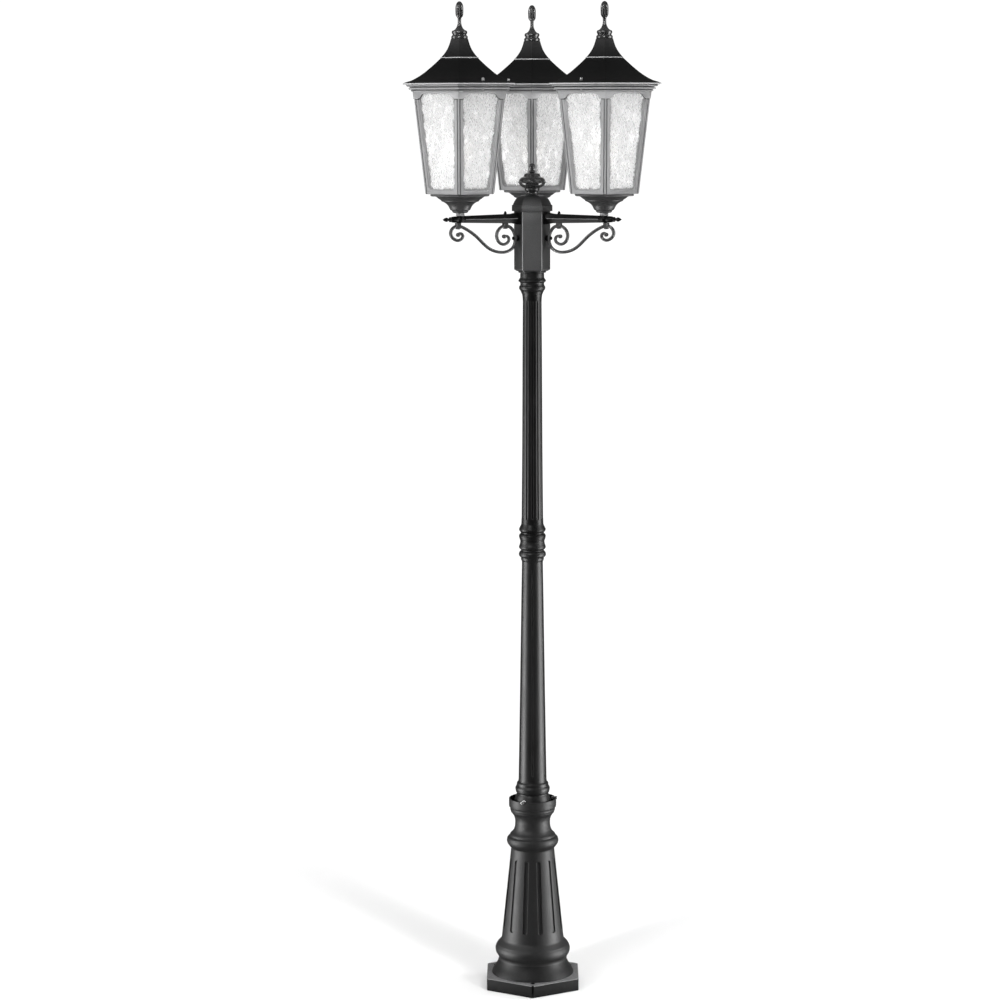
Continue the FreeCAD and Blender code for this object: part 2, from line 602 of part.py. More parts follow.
# ---------------------------------------------------------------- scrolls
CENTRE = [(201.6, 1855.2), (198.0, 1858.4), (192.2, 1857.4), (189.2, 1851.8), (192.4, 1845.6),
          (199.4, 1842.2), (207.2, 1842.8), (215.4, 1847.2), (220.6, 1853.6), (221.8, 1861.0),
          (218.4, 1868.6), (211.0, 1874.2), (202.4, 1875.9), (194.4, 1874.4), (184.0, 1870.0),
          (172.6, 1863.8), (162.4, 1857.2), (152.3, 1849.6), (142.4, 1840.8), (133.3, 1832.4),
          (124.6, 1825.2), (115.9, 1819.6), (106.4, 1815.4), (96.7, 1812.6), (87.0, 1811.2),
          (77.6, 1811.0), (69.0, 1812.4), (61.0, 1815.4), (54.4, 1820.2), (49.8, 1826.4),
          (47.3, 1834.0), (46.9, 1843.0), (48.4, 1853.0), (52.4, 1861.6), (58.6, 1868.6),
          (66.0, 1872.6), (74.0, 1873.9), (82.0, 1872.0), (89.4, 1867.4), (95.0, 1860.4),
          (97.6, 1851.6), (95.8, 1842.2), (90.4, 1834.4), (82.0, 1830.2), (73.2, 1830.6),
          (66.4, 1835.0), (64.0, 1841.4), (66.6, 1847.2), (72.0, 1849.6), (77.0, 1848.4)]


def smooth_line(points, steps):
    """Points along a Catmull-Rom curve through the given ones."""
    out = []
    n = len(points)
    for i in range(n - 1):
        p0, p1 = points[max(i - 1, 0)], points[i]
        p2, p3 = points[i + 1], points[min(i + 2, n - 1)]
        for k in range(steps):
            t = k / float(steps)
            out.append(tuple(0.5 * (2 * p1[j] + (p2[j] - p0[j]) * t
                                    + (2 * p0[j] - 5 * p1[j] + 4 * p2[j] - p3[j]) * t * t
                                    + (3 * p1[j] - p0[j] - 3 * p2[j] + p3[j]) * t ** 3) for j in (0, 1)))
    out.append(points[-1])
    return out


def ribbon(points, half):
    """Outline of a bar of constant width along a centre line."""
    left, right = [], []
    for i, p in enumerate(points):
        a, c = points[max(i - 1, 0)], points[min(i + 1, len(points) - 1)]
        dx, dy = c[0] - a[0], c[1] - a[1]
        k = math.hypot(dx, dy)
        left.append((p[0] - dy / k * half, p[1] + dx / k * half))
        right.append((p[0] + dy / k * half, p[1] - dx / k * half))
    return left + right[::-1]


def add_free_outline(sk, pts):
    import Sketcher
    n = len(pts)
    sk.addGeometry([Part.LineSegment(Vector(pts[i][0], pts[i][1], 0),
                                     Vector(pts[(i + 1) % n][0], pts[(i + 1) % n][1], 0))
                    for i in range(n)], False)
    sk.addConstraint([Sketcher.Constraint("Coincident", i, 2, (i + 1) % n, 1) for i in range(n)])
    sk.addConstraint([Sketcher.Constraint("Block", i) for i in range(0, n, 2)])


outline = ribbon(smooth_line(CENTRE, 2), num(S.scroll_bar) / 2.0)
sideways = Rotation(Vector(0, 0, 1), Vector(0, -1, 0))
for tag, ang in ARMS:
    b = new_body("scroll_" + tag, Placement(Vector(0, 0, 0), Rotation(Vector(0, 0, 1), ang)))
    sk = new_sketch(b, "XZ_Plane", offset=Placement(Vector(0, 0, -num(S.scroll_depth) / 2.0), Rotation()))
    sk.setExpression("AttachmentOffset.Base.z", (S.scroll_depth / -2.0).e)
    add_free_outline(sk, outline)
    pad(b, sk, S.scroll_depth)
    for (u, zz) in (CENTRE[0], CENTRE[-1]):
        cyl(b, 4.7, 9.4, Placement(Vector(u, 4.7, zz), sideways))
    cyl(b, 2.3, 16.0, radial(0, 41.0, 1843.5), cut=True)

# saddles that hold the scroll under its arm, at the lantern and near the root
b = new_body("scroll_clips")
for ang in (90.0, 210.0, 330.0):
    turn = Placement(Vector(0, 0, 0), Rotation(Vector(0, 0, 1), ang))
    for u, top, low in ((202.0, 1883.2, 1868.0), (74.0, 1879.2, 1866.2)):
        box(b, 12.0, 12.6, top - low, turn * at(u - 6.0, -6.3, low))
        box(b, 14.0, 8.6, 30.0, turn * at(u - 7.0, -4.3, low + 2.3), cut=True)

# screws that pull the scroll's back against the hub, with their spacers
b = new_body("scroll_screws")
for ang in (90.0, 210.0, 330.0):
    cyl(b, 4.6, num(CENTRE[31][0]) - 4.2 - num(hub_face), radial(ang, num(hub_face) + 0.03, 1843.5))
    cyl(b, 2.1, 20.4, radial(ang, 33.0, 1843.5))
    cyl(b, 4.4, 3.0, radial(ang, 51.3, 1843.5))

# ---------------------------------------------------------------- lanterns
b = new_body("lantern_tubes")
for ang in (90.0, 210.0, 330.0):
    cyl(b, S.tube_radius, 85.4, upright_at(ang, S.arm_reach, 1883.6))
    cyl(b, 3.6, 94.0, upright_at(ang, S.arm_reach, 1879.0), cut=True)

b = new_body("lantern_tube_nuts")
for ang in (90.0, 210.0, 330.0):
    for r_, z0, h_ in ((10.6, 1899.82, 6.86), (9.6, 1918.02, 6.0)):
        cyl(b, r_, h_, upright_at(ang, S.arm_reach, z0))
        cyl(b, S.tube_radius + 0.1, h_ + 2, upright_at(ang, S.arm_reach, z0 - 1), cut=True)

slope = (S.frame_high_radius - S.frame_low_radius) / (S.frame_high - S.frame_low)


def frame_radius(level):
    """Corner radius of the frame's posts at a level."""
    return S.frame_low_radius + slope * (level - S.frame_low)


for tag, ang in ARMS:
    a = math.radians(ang)
    P = Placement(Vector(num(S.arm_reach) * math.cos(a), num(S.arm_reach) * math.sin(a), 0), Rotation())

    b = new_body("lantern_cup_" + tag, P)
    hex_loft(b, [(75.5, 1946.8), (79.5, 1948.4), (79.5, S.frame_low)])
    revolve(b, [
        (0, S.cup_low), (14.6, S.cup_low), (16.6, 1907.6), (18.9, 1909.2), (18.9, 1911.4), (20.8, 1912.6),
        (23.2, 1913.8), (24.4, 1916.1), (25.7, 1918.4), (26.8, 1920.8), (28.2, 1923.2), (30.1, 1925.6),
        (32.5, 1928.0), (35.6, 1930.3), (39.6, 1932.6), (43.4, 1934.2), (44.9, 1935.4), (46.0, 1937.2),
        (49.8, 1939.6), (53.2, 1942.0), (56.2, 1944.4), (60.0, 1946.8), (60.0, 1948.0), (0, 1948.0)])
    revolve(b, [
        (0, 1918.0), (19.0, 1918.0), (25.0, 1926.0), (35.0, 1934.5), (44.0, 1941.0), (52.0, 1947.0),
        (56.0, S.frame_low + 1.0), (0, S.frame_low + 1.0)], cut=True)
    cyl(b, S.tube_hole, 20.0, at(0, 0, 1902.0), cut=True)

    b = new_body("lantern_frame_" + tag, P)
    hex_loft(b, [(S.frame_low_radius, S.frame_low), (S.frame_high_radius, S.frame_high)])
    hex_loft(b, [(S.header_low_radius, S.header_low), (S.header_high_radius, S.cornice_low)])
    hex_loft(b, [(130.0, S.cornice_low), (130.0, 2191.6), (134.8, 2193.4), (134.8, 2196.4), (140.6, 2198.4),
                 (140.6, 2201.0), (146.9, 2203.2), (146.9, S.frame_high)])
    hex_loft(b, [(frame_radius(S.frame_low) - S.frame_wall - 0.13, S.frame_low - 1.0),
                 (frame_radius(S.frame_high) - S.frame_wall + 0.13, S.frame_high + 1.0)], cut=True)
    sk = new_sketch(b, "YZ_Plane")
    lo = frame_radius(S.window_low) / 2.0 - S.post_width
    hi = frame_radius(S.window_high) / 2.0 - S.post_width
    win = [(lo - 8.0, S.window_low), (lo - 2.4, S.window_low + 3.0),
           (lo + 0.4, S.window_low + 9.0), (hi - 0.6, S.window_high - 11.0), (hi - 6.0, S.window_high - 9.6),
           (hi - 11.0, S.window_high - 6.0), (hi - 14.6, S.window_high)]
    win = win + [(-x, z) for x, z in win[::-1]]
    add_polygon(sk, win)
    f = pocket(b, sk, 200.0, reverse=True)
    ring_copies(b, f, 6)
    start = 300.0 if tag == "left" else 240.0
    for side in (start, start + 180.0):
        cyl(b, 2.5, 40.0, upright_at(side, S.roof_screw_at, 2186.0), cut=True)

    # six sheets of glass that stand inside the frame
    b = new_body("glass_panes_" + tag, P)
    wall = S.frame_wall * (R3 / 2.0)
    a0 = frame_radius(S.frame_low + 0.4) * (R3 / 2.0) - wall - 0.25
    a1 = frame_radius(2200.0) * (R3 / 2.0) - wall - 0.25
    tilt = math.degrees(math.atan2(num(a1) - num(a0), 2200.0 - num(S.frame_low) - 0.4))
    sk = new_sketch(b, "YZ_Plane", offset=Placement(
        Vector(0, num(S.frame_low) + 0.8, num(a0)), Rotation(Vector(1, 0, 0), tilt)))
    w0 = (frame_radius(S.frame_low + 0.8) - S.frame_wall) / 2.0 - 3.4
    w1 = (frame_radius(2196.0) - S.frame_wall) / 2.0 - 3.4
    add_polygon(sk, [(-w0, 0), (w0, 0), (w1, 243.0), (-w1, 243.0)])
    f = pad(b, sk, S.glass_thick, reverse=True)
    ring_copies(b, f, 6)

    b = new_body("pane_retainer_" + tag, P)
    gl = S.glass_thick * (2.0 / R3)
    ro = frame_radius(S.frame_low) - S.frame_wall - gl - 0.9
    hex_loft(b, [(ro, S.frame_low + 0.02), (ro + slope * 8.0, S.frame_low + 8.0)])
    hex_loft(b, [(ro - 3.4, S.frame_low - 1.0), (ro - 3.4, S.frame_low + 9.0)], cut=True)

    b = new_body("lantern_roof_" + tag, P)
    k = 2.0 / R3
    outer = [(S.eave_radius - 3.6, S.eave_level), (S.eave_radius, 2208.2), (S.eave_radius - 1.6, 2209.6),
             (141.6, 2212.8), (132.0, 2215.0), (125.4, 2217.3), (115.4, 2221.9), (106.6, 2226.5),
             (98.6, 2231.4), (91.4, 2236.0), (78.6, 2245.4), (66.6, 2254.6), (55.4, 2263.8),
             (50.6, 2268.0), (50.6, 2270.4), (47.4, 2271.2), (41.4, 2277.6), (34.2, 2286.8), (29.0, 2296.0),
             (25.4, 2305.2), (S.roof_tip_radius, S.roof_top)]
    hex_loft(b, outer)
    inner = [(S.frame_high_radius - S.frame_wall, S.eave_level - 1.0),
             (S.frame_high_radius - S.frame_wall, 2212.4), (106.0, 2222.0), (84.0, 2235.6),
             (60.0, 2254.0), (40.0, 2271.0), (28.0, 2285.0), (20.0, 2297.0)]
    hex_loft(b, inner, cut=True)
    cyl(b, 3.2, 20.0, at(0, 0, 2294.0), cut=True)
    for side in (start, start + 180.0):
        cyl(b, 2.0, 40.0, upright_at(side, S.roof_screw_at, 2190.0), cut=True)
        cyl(b, S.roof_screw_head + 0.3, 14.0, upright_at(side, S.roof_screw_at, 2214.6), cut=True)

    b = new_body("roof_finial_" + tag, P)
    revolve(b, [
        (0, S.roof_top - 13.0), (3.0, S.roof_top - 13.0), (3.0, S.roof_top), (18.6, S.roof_top),
        (19.4, 2314.0), (19.4, 2318.4), (17.6, 2320.4), (16.2, 2321.8), (16.2, 2323.6), (17.8, 2325.2),
        (18.2, 2328.6), (17.4, 2331.4), (12.6, 2333.4), (8.6, 2337.2), (6.2, 2341.8), (4.7, 2346.6),
        (4.1, 2352.0), (4.2, 2358.4), (5.2, 2362.6), (7.2, 2365.6), (7.8, 2369.6), (9.0, 2374.4),
        (9.4, 2381.0), (9.2, 2387.4), (7.9, 2392.6), (5.4, 2397.0), (2.6, 2399.4), (0, S.total_height)])

    b = new_body("roof_screws_" + tag, P)
    for side in (start, start + 180.0):
        cyl(b, 1.9, 24.0, upright_at(side, S.roof_screw_at, 2193.0))
        cyl(b, S.roof_screw_head, 8.2, upright_at(side, S.roof_screw_at, 2214.65))

    b = new_body("lampholder_" + tag, P)
    zz = S.holder_low
    revolve(b, [
        (0, zz), (13.0, zz), (15.0, zz + 2.0), (15.0, zz + 12.0), (S.holder_radius - 1.0, zz + 16.0),
        (S.holder_radius, zz + 18.0), (S.holder_radius, zz + 50.0), (S.holder_radius - 1.0, zz + 51.0), (0, zz + 51.0)])
    revolve(b, [(0, zz + 15.6), (13.9, zz + 15.6), (13.9, zz + 52.0), (0, zz + 52.0)], cut=True)
    cyl(b, S.tube_radius + 0.1, 20.0, at(0, 0, num(zz) - 2), cut=True)

    b = new_body("bulb_" + tag, P)
    revolve(b, [
        (0, 1974.4), (5.0, 1974.4), (5.6, 1977.4), (12.2, 1981.0), (13.4, 1983.0), (13.4, 2009.8), (14.6, 2011.4),
        (15.4, 2015.0), (18.0, 2024.0), (22.6, 2035.0), (27.0, 2044.0), (S.bulb_radius - 0.6, 2052.0),
        (S.bulb_radius, 2060.0), (S.bulb_radius - 0.8, 2067.0), (26.4, 2074.4), (20.6, 2081.6),
        (12.6, 2086.8), (5.0, 2089.0), (0, 2089.2)])

# ---------------------------------------------------------------- check and write
doc.recompute()
bad = []
for o in doc.Objects:
    if "Invalid" in o.State or "Error" in o.State:
        bad.append("%s %s %s" % (o.Label, o.TypeId, o.State))
for o in PARTS:
    if o.Shape.isNull() or not o.Shape.isValid() or o.Shape.Volume <= 0:
        bad.append("%s shape" % o.Label)
if bad:
    raise RuntimeError("failed: " + "; ".join(bad))
os.makedirs("parts", exist_ok=True)
for o in PARTS:
    o.Shape.exportStep(os.path.join("parts", o.Label + ".step"))
print("%d parts" % len(PARTS))
for o in PARTS:
    bb = o.Shape.BoundBox
    print("%-24s solids %2d volume %9.0f  x %7.1f %7.1f  y %7.1f %7.1f  z %7.1f %7.1f" % (
        o.Label, len(o.Shape.Solids), o.Shape.Volume, bb.XMin, bb.XMax, bb.YMin, bb.YMax, bb.ZMin, bb.ZMax))
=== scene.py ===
import bpy
import bmesh
import math
from mathutils import Matrix, Vector, noise
from mathutils.geometry import tessellate_polygon


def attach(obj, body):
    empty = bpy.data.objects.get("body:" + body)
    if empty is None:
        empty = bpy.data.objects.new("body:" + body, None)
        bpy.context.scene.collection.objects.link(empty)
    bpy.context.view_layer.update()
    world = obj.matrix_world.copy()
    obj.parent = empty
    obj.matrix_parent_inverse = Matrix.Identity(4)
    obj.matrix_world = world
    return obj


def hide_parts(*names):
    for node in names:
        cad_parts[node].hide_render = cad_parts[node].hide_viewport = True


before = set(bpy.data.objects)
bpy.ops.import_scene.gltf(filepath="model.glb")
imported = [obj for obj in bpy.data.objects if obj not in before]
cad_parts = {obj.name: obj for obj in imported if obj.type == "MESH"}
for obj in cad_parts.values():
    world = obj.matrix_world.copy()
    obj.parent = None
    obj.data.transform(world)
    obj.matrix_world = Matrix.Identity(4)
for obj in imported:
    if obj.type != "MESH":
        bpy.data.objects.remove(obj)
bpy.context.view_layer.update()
scene = bpy.context.scene
MM = 0.001
R3 = math.sqrt(3.0)
ARMS = (("left", 210.0), ("right", 330.0), ("rear", 90.0))
REACH = 196.0


# ------------------------------------------------------------------ materials
def new_mat(name):
    m = bpy.data.materials.new(name)
    m.use_nodes = True
    nt = m.node_tree
    return m, nt, nt.nodes["Principled BSDF"]


def link(nt, a, b):
    nt.links.new(a, b)


def tex_noise(nt, scale, detail=3.0, rough=0.5, vector=None, distortion=0.0):
    n = nt.nodes.new("ShaderNodeTexNoise")
    n.inputs["Scale"].default_value = scale
    n.inputs["Detail"].default_value = detail
    n.inputs["Roughness"].default_value = rough
    n.inputs["Distortion"].default_value = distortion
    if vector is not None:
        link(nt, vector, n.inputs["Vector"])
    return n


def ramp(nt, src, stops):
    r = nt.nodes.new("ShaderNodeValToRGB")
    cr = r.color_ramp
    while len(cr.elements) > 1:
        cr.elements.remove(cr.elements[-1])
    cr.elements[0].position, cr.elements[0].color = stops[0][0], (*stops[0][1], 1)
    for p, c in stops[1:]:
        e = cr.elements.new(p)
        e.color = (*c, 1)
    link(nt, src, r.inputs["Fac"])
    return r


def map_range(nt, src, a, b, c, d):
    n = nt.nodes.new("ShaderNodeMapRange")
    n.inputs["From Min"].default_value = a
    n.inputs["From Max"].default_value = b
    n.inputs["To Min"].default_value = c
    n.inputs["To Max"].default_value = d
    link(nt, src, n.inputs["Value"])
    return n


def grey(v, tint=0.0):
    return (v, v, v * (1.0 + tint))


def powder(name, tone, rough=0.42, grain=0.10, fleck=0.25, edge=0.0, specular=0.5, size=620.0, height_shade=None):
    """Powder coat: fine orange-peel grain and faint cloudiness. Two optional marks are painted light: a painted
    highlight on sharp edges, found by Pointiness, and painted light and shade that scales the tone across a band of
    height.
    """
    m, nt, bsdf = new_mat(name)
    tc = nt.nodes.new("ShaderNodeTexCoord")
    fine = tex_noise(nt, size, 2.0, 0.6, tc.outputs["Object"])
    cloud = tex_noise(nt, 22.0, 4.0, 0.55, tc.outputs["Object"])
    base = ramp(nt, cloud.outputs["Fac"], [(0.25, grey(tone * 0.90, 0.015)), (0.75, grey(tone * 1.10, 0.015))])
    spk = ramp(nt, fine.outputs["Fac"], [(0.35, grey(1.0 - fleck)), (0.52, grey(1.0)), (0.72, grey(1.0 + fleck))])
    mix = nt.nodes.new("ShaderNodeMix")
    mix.data_type = "RGBA"
    mix.blend_type = "MULTIPLY"
    mix.inputs["Factor"].default_value = 1.0
    link(nt, base.outputs["Color"], mix.inputs["A"])
    link(nt, spk.outputs["Color"], mix.inputs["B"])
    out = mix.outputs["Result"]
    # painted light and shade: the tone is scaled from 1 to the given factor across a band of height
    if height_shade:
        sep = nt.nodes.new("ShaderNodeSeparateXYZ")
        link(nt, tc.outputs["Object"], sep.inputs["Vector"])
        up = map_range(nt, sep.outputs["Z"], height_shade[0], height_shade[1], 1.0, height_shade[2])
        lift = nt.nodes.new("ShaderNodeVectorMath")
        lift.operation = "SCALE"
        link(nt, out, lift.inputs[0])
        link(nt, up.outputs["Result"], lift.inputs["Scale"])
        out = lift.outputs["Vector"]
    # painted highlight: a lighter tone on sharp edges, found by Pointiness
    if edge > 0:
        geo = nt.nodes.new("ShaderNodeNewGeometry")
        edge_highlight_mask = map_range(nt, geo.outputs["Pointiness"], 0.50, 0.56, 0.0, 1.0)
        e = nt.nodes.new("ShaderNodeMix")
        e.data_type = "RGBA"
        e.blend_type = "MIX"
        link(nt, edge_highlight_mask.outputs["Result"], e.inputs["Factor"])
        link(nt, out, e.inputs["A"])
        e.inputs["B"].default_value = (*grey(min(0.9, tone + edge)), 1)
        out = e.outputs["Result"]
    link(nt, out, bsdf.inputs["Base Color"])
    rr = map_range(nt, cloud.outputs["Fac"], 0.3, 0.7, rough - 0.04, rough + 0.05)
    link(nt, rr.outputs["Result"], bsdf.inputs["Roughness"])
    bsdf.inputs["Specular IOR Level"].default_value = specular
    bump = nt.nodes.new("ShaderNodeBump")
    bump.inputs["Strength"].default_value = grain
    bump.inputs["Distance"].default_value = 0.0004
    link(nt, fine.outputs["Fac"], bump.inputs["Height"])
    link(nt, bump.outputs["Normal"], bsdf.inputs["Normal"])
    return m


def steel(name, tone, rough, streak=900.0):
    m, nt, bsdf = new_mat(name)
    tc = nt.nodes.new("ShaderNodeTexCoord")
    n = tex_noise(nt, streak, 3.0, 0.6, tc.outputs["Object"])
    base = ramp(nt, n.outputs["Fac"], [(0.3, grey(tone * 0.86)), (0.7, grey(min(1.0, tone * 1.08)))])
    link(nt, base.outputs["Color"], bsdf.inputs["Base Color"])
    rr = map_range(nt, n.outputs["Fac"], 0.3, 0.7, rough - 0.06, rough + 0.08)
    link(nt, rr.outputs["Result"], bsdf.inputs["Roughness"])
    bsdf.inputs["Metallic"].default_value = 1.0
    return m


def water_glass(name):
    """Clear glass with a crinkled face and a painted glow: it emits light that stands in for the pale surroundings
    lighting it from behind.
    Painted shade shows the crinkles as fine creases, the frame as a ragged darker line round each pane, and the upper
    part of each pane as darker."""
    m, nt, bsdf = new_mat(name)
    tc = nt.nodes.new("ShaderNodeTexCoord")
    mp = nt.nodes.new("ShaderNodeMapping")
    mp.inputs["Rotation"].default_value = (0.0, math.radians(16.0), 0.0)
    mp.inputs["Scale"].default_value = (1.0, 1.0, 0.45)
    link(nt, tc.outputs["Object"], mp.inputs["Vector"])
    big = tex_noise(nt, 105.0, 1.5, 0.5, mp.outputs["Vector"], 0.8)
    small = tex_noise(nt, 210.0, 1.0, 0.5, mp.outputs["Vector"], 0.6)
    wide = tex_noise(nt, 26.0, 2.0, 0.5, mp.outputs["Vector"], 0.5)
    fine = tex_noise(nt, 420.0, 2.0, 0.5, mp.outputs["Vector"], 0.6)

    def mathn(op, a, b):
        n = nt.nodes.new("ShaderNodeMath")
        n.operation = op
        for i, v in enumerate((a, b)):
            if isinstance(v, float):
                n.inputs[i].default_value = v
            else:
                link(nt, v, n.inputs[i])
        return n.outputs["Value"]

    def creases(src, width, low):
        fold = mathn("ABSOLUTE", mathn("SUBTRACT", src, 0.5), 0.0)
        r = map_range(nt, fold, 0.0, width, low, 1.0)
        r.interpolation_type = "SMOOTHSTEP"
        return r.outputs["Result"]
    # painted shade: the glass's colour is darkened along the crinkles' creases and on some facets
    crease_shade = mathn("MULTIPLY", creases(big.outputs["Fac"], 0.130, 0.84), creases(small.outputs["Fac"], 0.100, 0.95))
    facet_shade = map_range(nt, big.outputs["Fac"], 0.34, 0.66, 0.93, 1.0)
    crease_shade = mathn("MULTIPLY", crease_shade, facet_shade.outputs["Result"])
    # painted shade: a ragged darker band along the frame, from the rim attribute and noise
    rim = nt.nodes.new("ShaderNodeAttribute")
    rim.attribute_name = "rim"
    wob = map_range(nt, big.outputs["Fac"], 0.32, 0.68, -2.9, 2.2)
    rim_shade = map_range(nt, mathn("ADD", rim.outputs["Fac"], wob.outputs["Result"]), 0.0, 3.4, 0.38, 1.0)
    # painted shade: darker towards the top of each pane
    sep = nt.nodes.new("ShaderNodeSeparateXYZ")
    link(nt, tc.outputs["Object"], sep.inputs["Vector"])
    top = map_range(nt, sep.outputs["Z"], 2.08, 2.185, 1.0, 0.88)
    cloud = map_range(nt, wide.outputs["Fac"], 0.35, 0.65, 0.97, 1.0)
    glass_light_factor = mathn("MULTIPLY", mathn("MULTIPLY", rim_shade.outputs["Result"], top.outputs["Result"]),
               mathn("MULTIPLY", crease_shade, cloud.outputs["Result"]))
    sc = nt.nodes.new("ShaderNodeVectorMath")
    sc.operation = "SCALE"
    sc.inputs[0].default_value = (0.95, 0.95, 0.95)
    link(nt, glass_light_factor, sc.inputs["Scale"])
    link(nt, sc.outputs["Vector"], bsdf.inputs["Base Color"])
    rr = map_range(nt, fine.outputs["Fac"], 0.3, 0.7, 0.25, 0.31)
    link(nt, rr.outputs["Result"], bsdf.inputs["Roughness"])
    bsdf.inputs["Transmission Weight"].default_value = 0.66
    bsdf.inputs["IOR"].default_value = 1.45
    bsdf.inputs["Emission Color"].default_value = (1, 1, 1, 1)
    # painted glow: the glass emits light in step with its painted colour
    link(nt, mathn("MULTIPLY", glass_light_factor, 0.265), bsdf.inputs["Emission Strength"])
    bump = nt.nodes.new("ShaderNodeBump")
    bump.inputs["Strength"].default_value = 0.16
    bump.inputs["Distance"].default_value = 0.0010
    link(nt, big.outputs["Fac"], bump.inputs["Height"])
    b2 = nt.nodes.new("ShaderNodeBump")
    b2.inputs["Strength"].default_value = 0.12
    b2.inputs["Distance"].default_value = 0.0004
    link(nt, fine.outputs["Fac"], b2.inputs["Height"])
    link(nt, bump.outputs["Normal"], b2.inputs["Normal"])
    link(nt, b2.outputs["Normal"], bsdf.inputs["Normal"])
    return m


def soft_plain(name, tone, rough, variation=0.08, scale=160.0, transmission=0.0, emission=0.0):
    m, nt, bsdf = new_mat(name)
    tc = nt.nodes.new("ShaderNodeTexCoord")
    n = tex_noise(nt, scale, 3.0, 0.5, tc.outputs["Object"])
    col = ramp(nt, n.outputs["Fac"], [(0.3, tuple(c * (1 - variation) for c in tone)), (0.7, tone)])
    link(nt, col.outputs["Color"], bsdf.inputs["Base Color"])
    rr = map_range(nt, n.outputs["Fac"], 0.3, 0.7, rough * 0.85, min(1.0, rough * 1.15))
    link(nt, rr.outputs["Result"], bsdf.inputs["Roughness"])
    bsdf.inputs["Transmission Weight"].default_value = transmission
    if emission > 0:
        bsdf.inputs["Emission Color"].default_value = (1, 0.97, 0.92, 1)
        bsdf.inputs["Emission Strength"].default_value = emission
    return m


M_PED = powder("pedestal_coat", 0.007, 0.50, 0.45, 0.45, size=520.0)
# painted shade: a darker, less glossy copy of the pedestal coat for the plate's sides
M_PLATE_SHADE = powder("plate_painted_shade", 0.003, 0.50, 0.45, 0.45, size=520.0, specular=0.15)
# painted shade: a darker, less glossy copy of the pedestal coat for the foot
M_FLARE_SHADE = powder("foot_painted_shade", 0.006, 0.48, 0.45, 0.45, size=520.0, specular=0.27)
# painted light: a much lighter copy of the pedestal coat for the plate's upward face
M_PLATE_TOP_LIT = powder("plate_top_painted_light", 0.125, 0.48, 0.45, 0.40, size=520.0, specular=0.48)
# painted highlight: light coat for the plate's top edge bevel
M_PED_EDGE_HIGHLIGHT = powder("pedestal_edge_highlight", 0.120, 0.34, 0.30, 0.35, size=520.0)
M_SHAFT = powder("shaft_coat", 0.004, 0.40, 0.20, 0.25, specular=0.42)
# painted shade: a darker, less glossy copy of the shaft coat for the upper shaft
M_SHAFT_UP_SHADE = powder("upper_shaft_painted_shade", 0.002, 0.38, 0.20, 0.25, specular=0.32)
# painted light: the hub's coat is far lighter than the arms' black coat, for its front face
M_HUB_LIT = powder("hub_coat", 0.054, 0.40, 0.16, 0.22)
# painted light: lighter than the arms' coat on the cap's front, with painted shade darkening the dome towards its top
M_CAP_LIT = powder("cap_painted_light_and_shade", 0.062, 0.40, 0.16, 0.22, height_shade=(1.924, 1.944, 0.22))
# painted shade: darker copy of the hub coat for the hub's and cap's side faces
M_HUB_SIDE_SHADE = powder("hub_side_painted_shade", 0.022, 0.40, 0.16, 0.22, specular=0.35)
# painted highlight: light coat for the hub's rounded corners
M_HUB_EDGE_HIGHLIGHT = powder("hub_edge_highlight", 0.300, 0.30, 0.08, 0.10)
M_KNOB = powder("hub_finial_coat", 0.026, 0.19, 0.06, 0.12, specular=1.0)
M_ARM = powder("arm_coat", 0.003, 0.32, 0.08, 0.12, specular=0.18)
# painted highlight: light coat for the ridge along each arm's flank
M_ARM_RIDGE_HIGHLIGHT = powder("arm_ridge_highlight", 0.150, 0.30, 0.08, 0.10)
M_SCROLL = powder("scroll_coat", 0.052, 0.17, 0.06, 0.10, specular=1.0)
M_NECK = powder("neck_coat", 0.300, 0.20, 0.06, 0.10)
M_CUP = powder("cup_coat", 0.036, 0.42, 0.20, 0.20)
M_FRAME = powder("lantern_coat", 0.290, 0.32, 0.08, 0.12)
# painted light: the roof's coat grows up to nine times lighter towards the spire's top
M_ROOF_SPIRE_LIT = powder("roof_coat", 0.0020, 0.50, 0.05, 0.10, specular=0.16, height_shade=(2.262, 2.313, 9.0))
# painted highlight: light coat for the roof's eave rim and the spire's band
M_EAVE_HIGHLIGHT = powder("eave_painted_highlight", 0.330, 0.30, 0.06, 0.08)
# painted shade: dark coat for grooves, the head band's underside and the cornice's steps
M_RECESS_SHADE = powder("recess_painted_shade", 0.012, 0.5, 0.05, 0.10)
M_FIN = powder("finial_coat", 0.018, 0.24, 0.06, 0.10, specular=1.0)
M_BRIGHT = steel("bright_steel", 0.78, 0.24)
M_SCREW = steel("roof_screw_steel", 0.34, 0.34)
M_PLATED = steel("plated_steel", 0.55, 0.38)
M_GLASS = water_glass("water_glass")
M_BULB = soft_plain("bulb_glass", (0.95, 0.94, 0.90), 0.30, 0.03, 60.0, 0.0, 0.6)
M_CERAMIC = soft_plain("holder_ceramic", (0.82, 0.81, 0.77), 0.22)
M_TERMINAL = soft_plain("terminal_plastic", (0.78, 0.78, 0.75), 0.45)


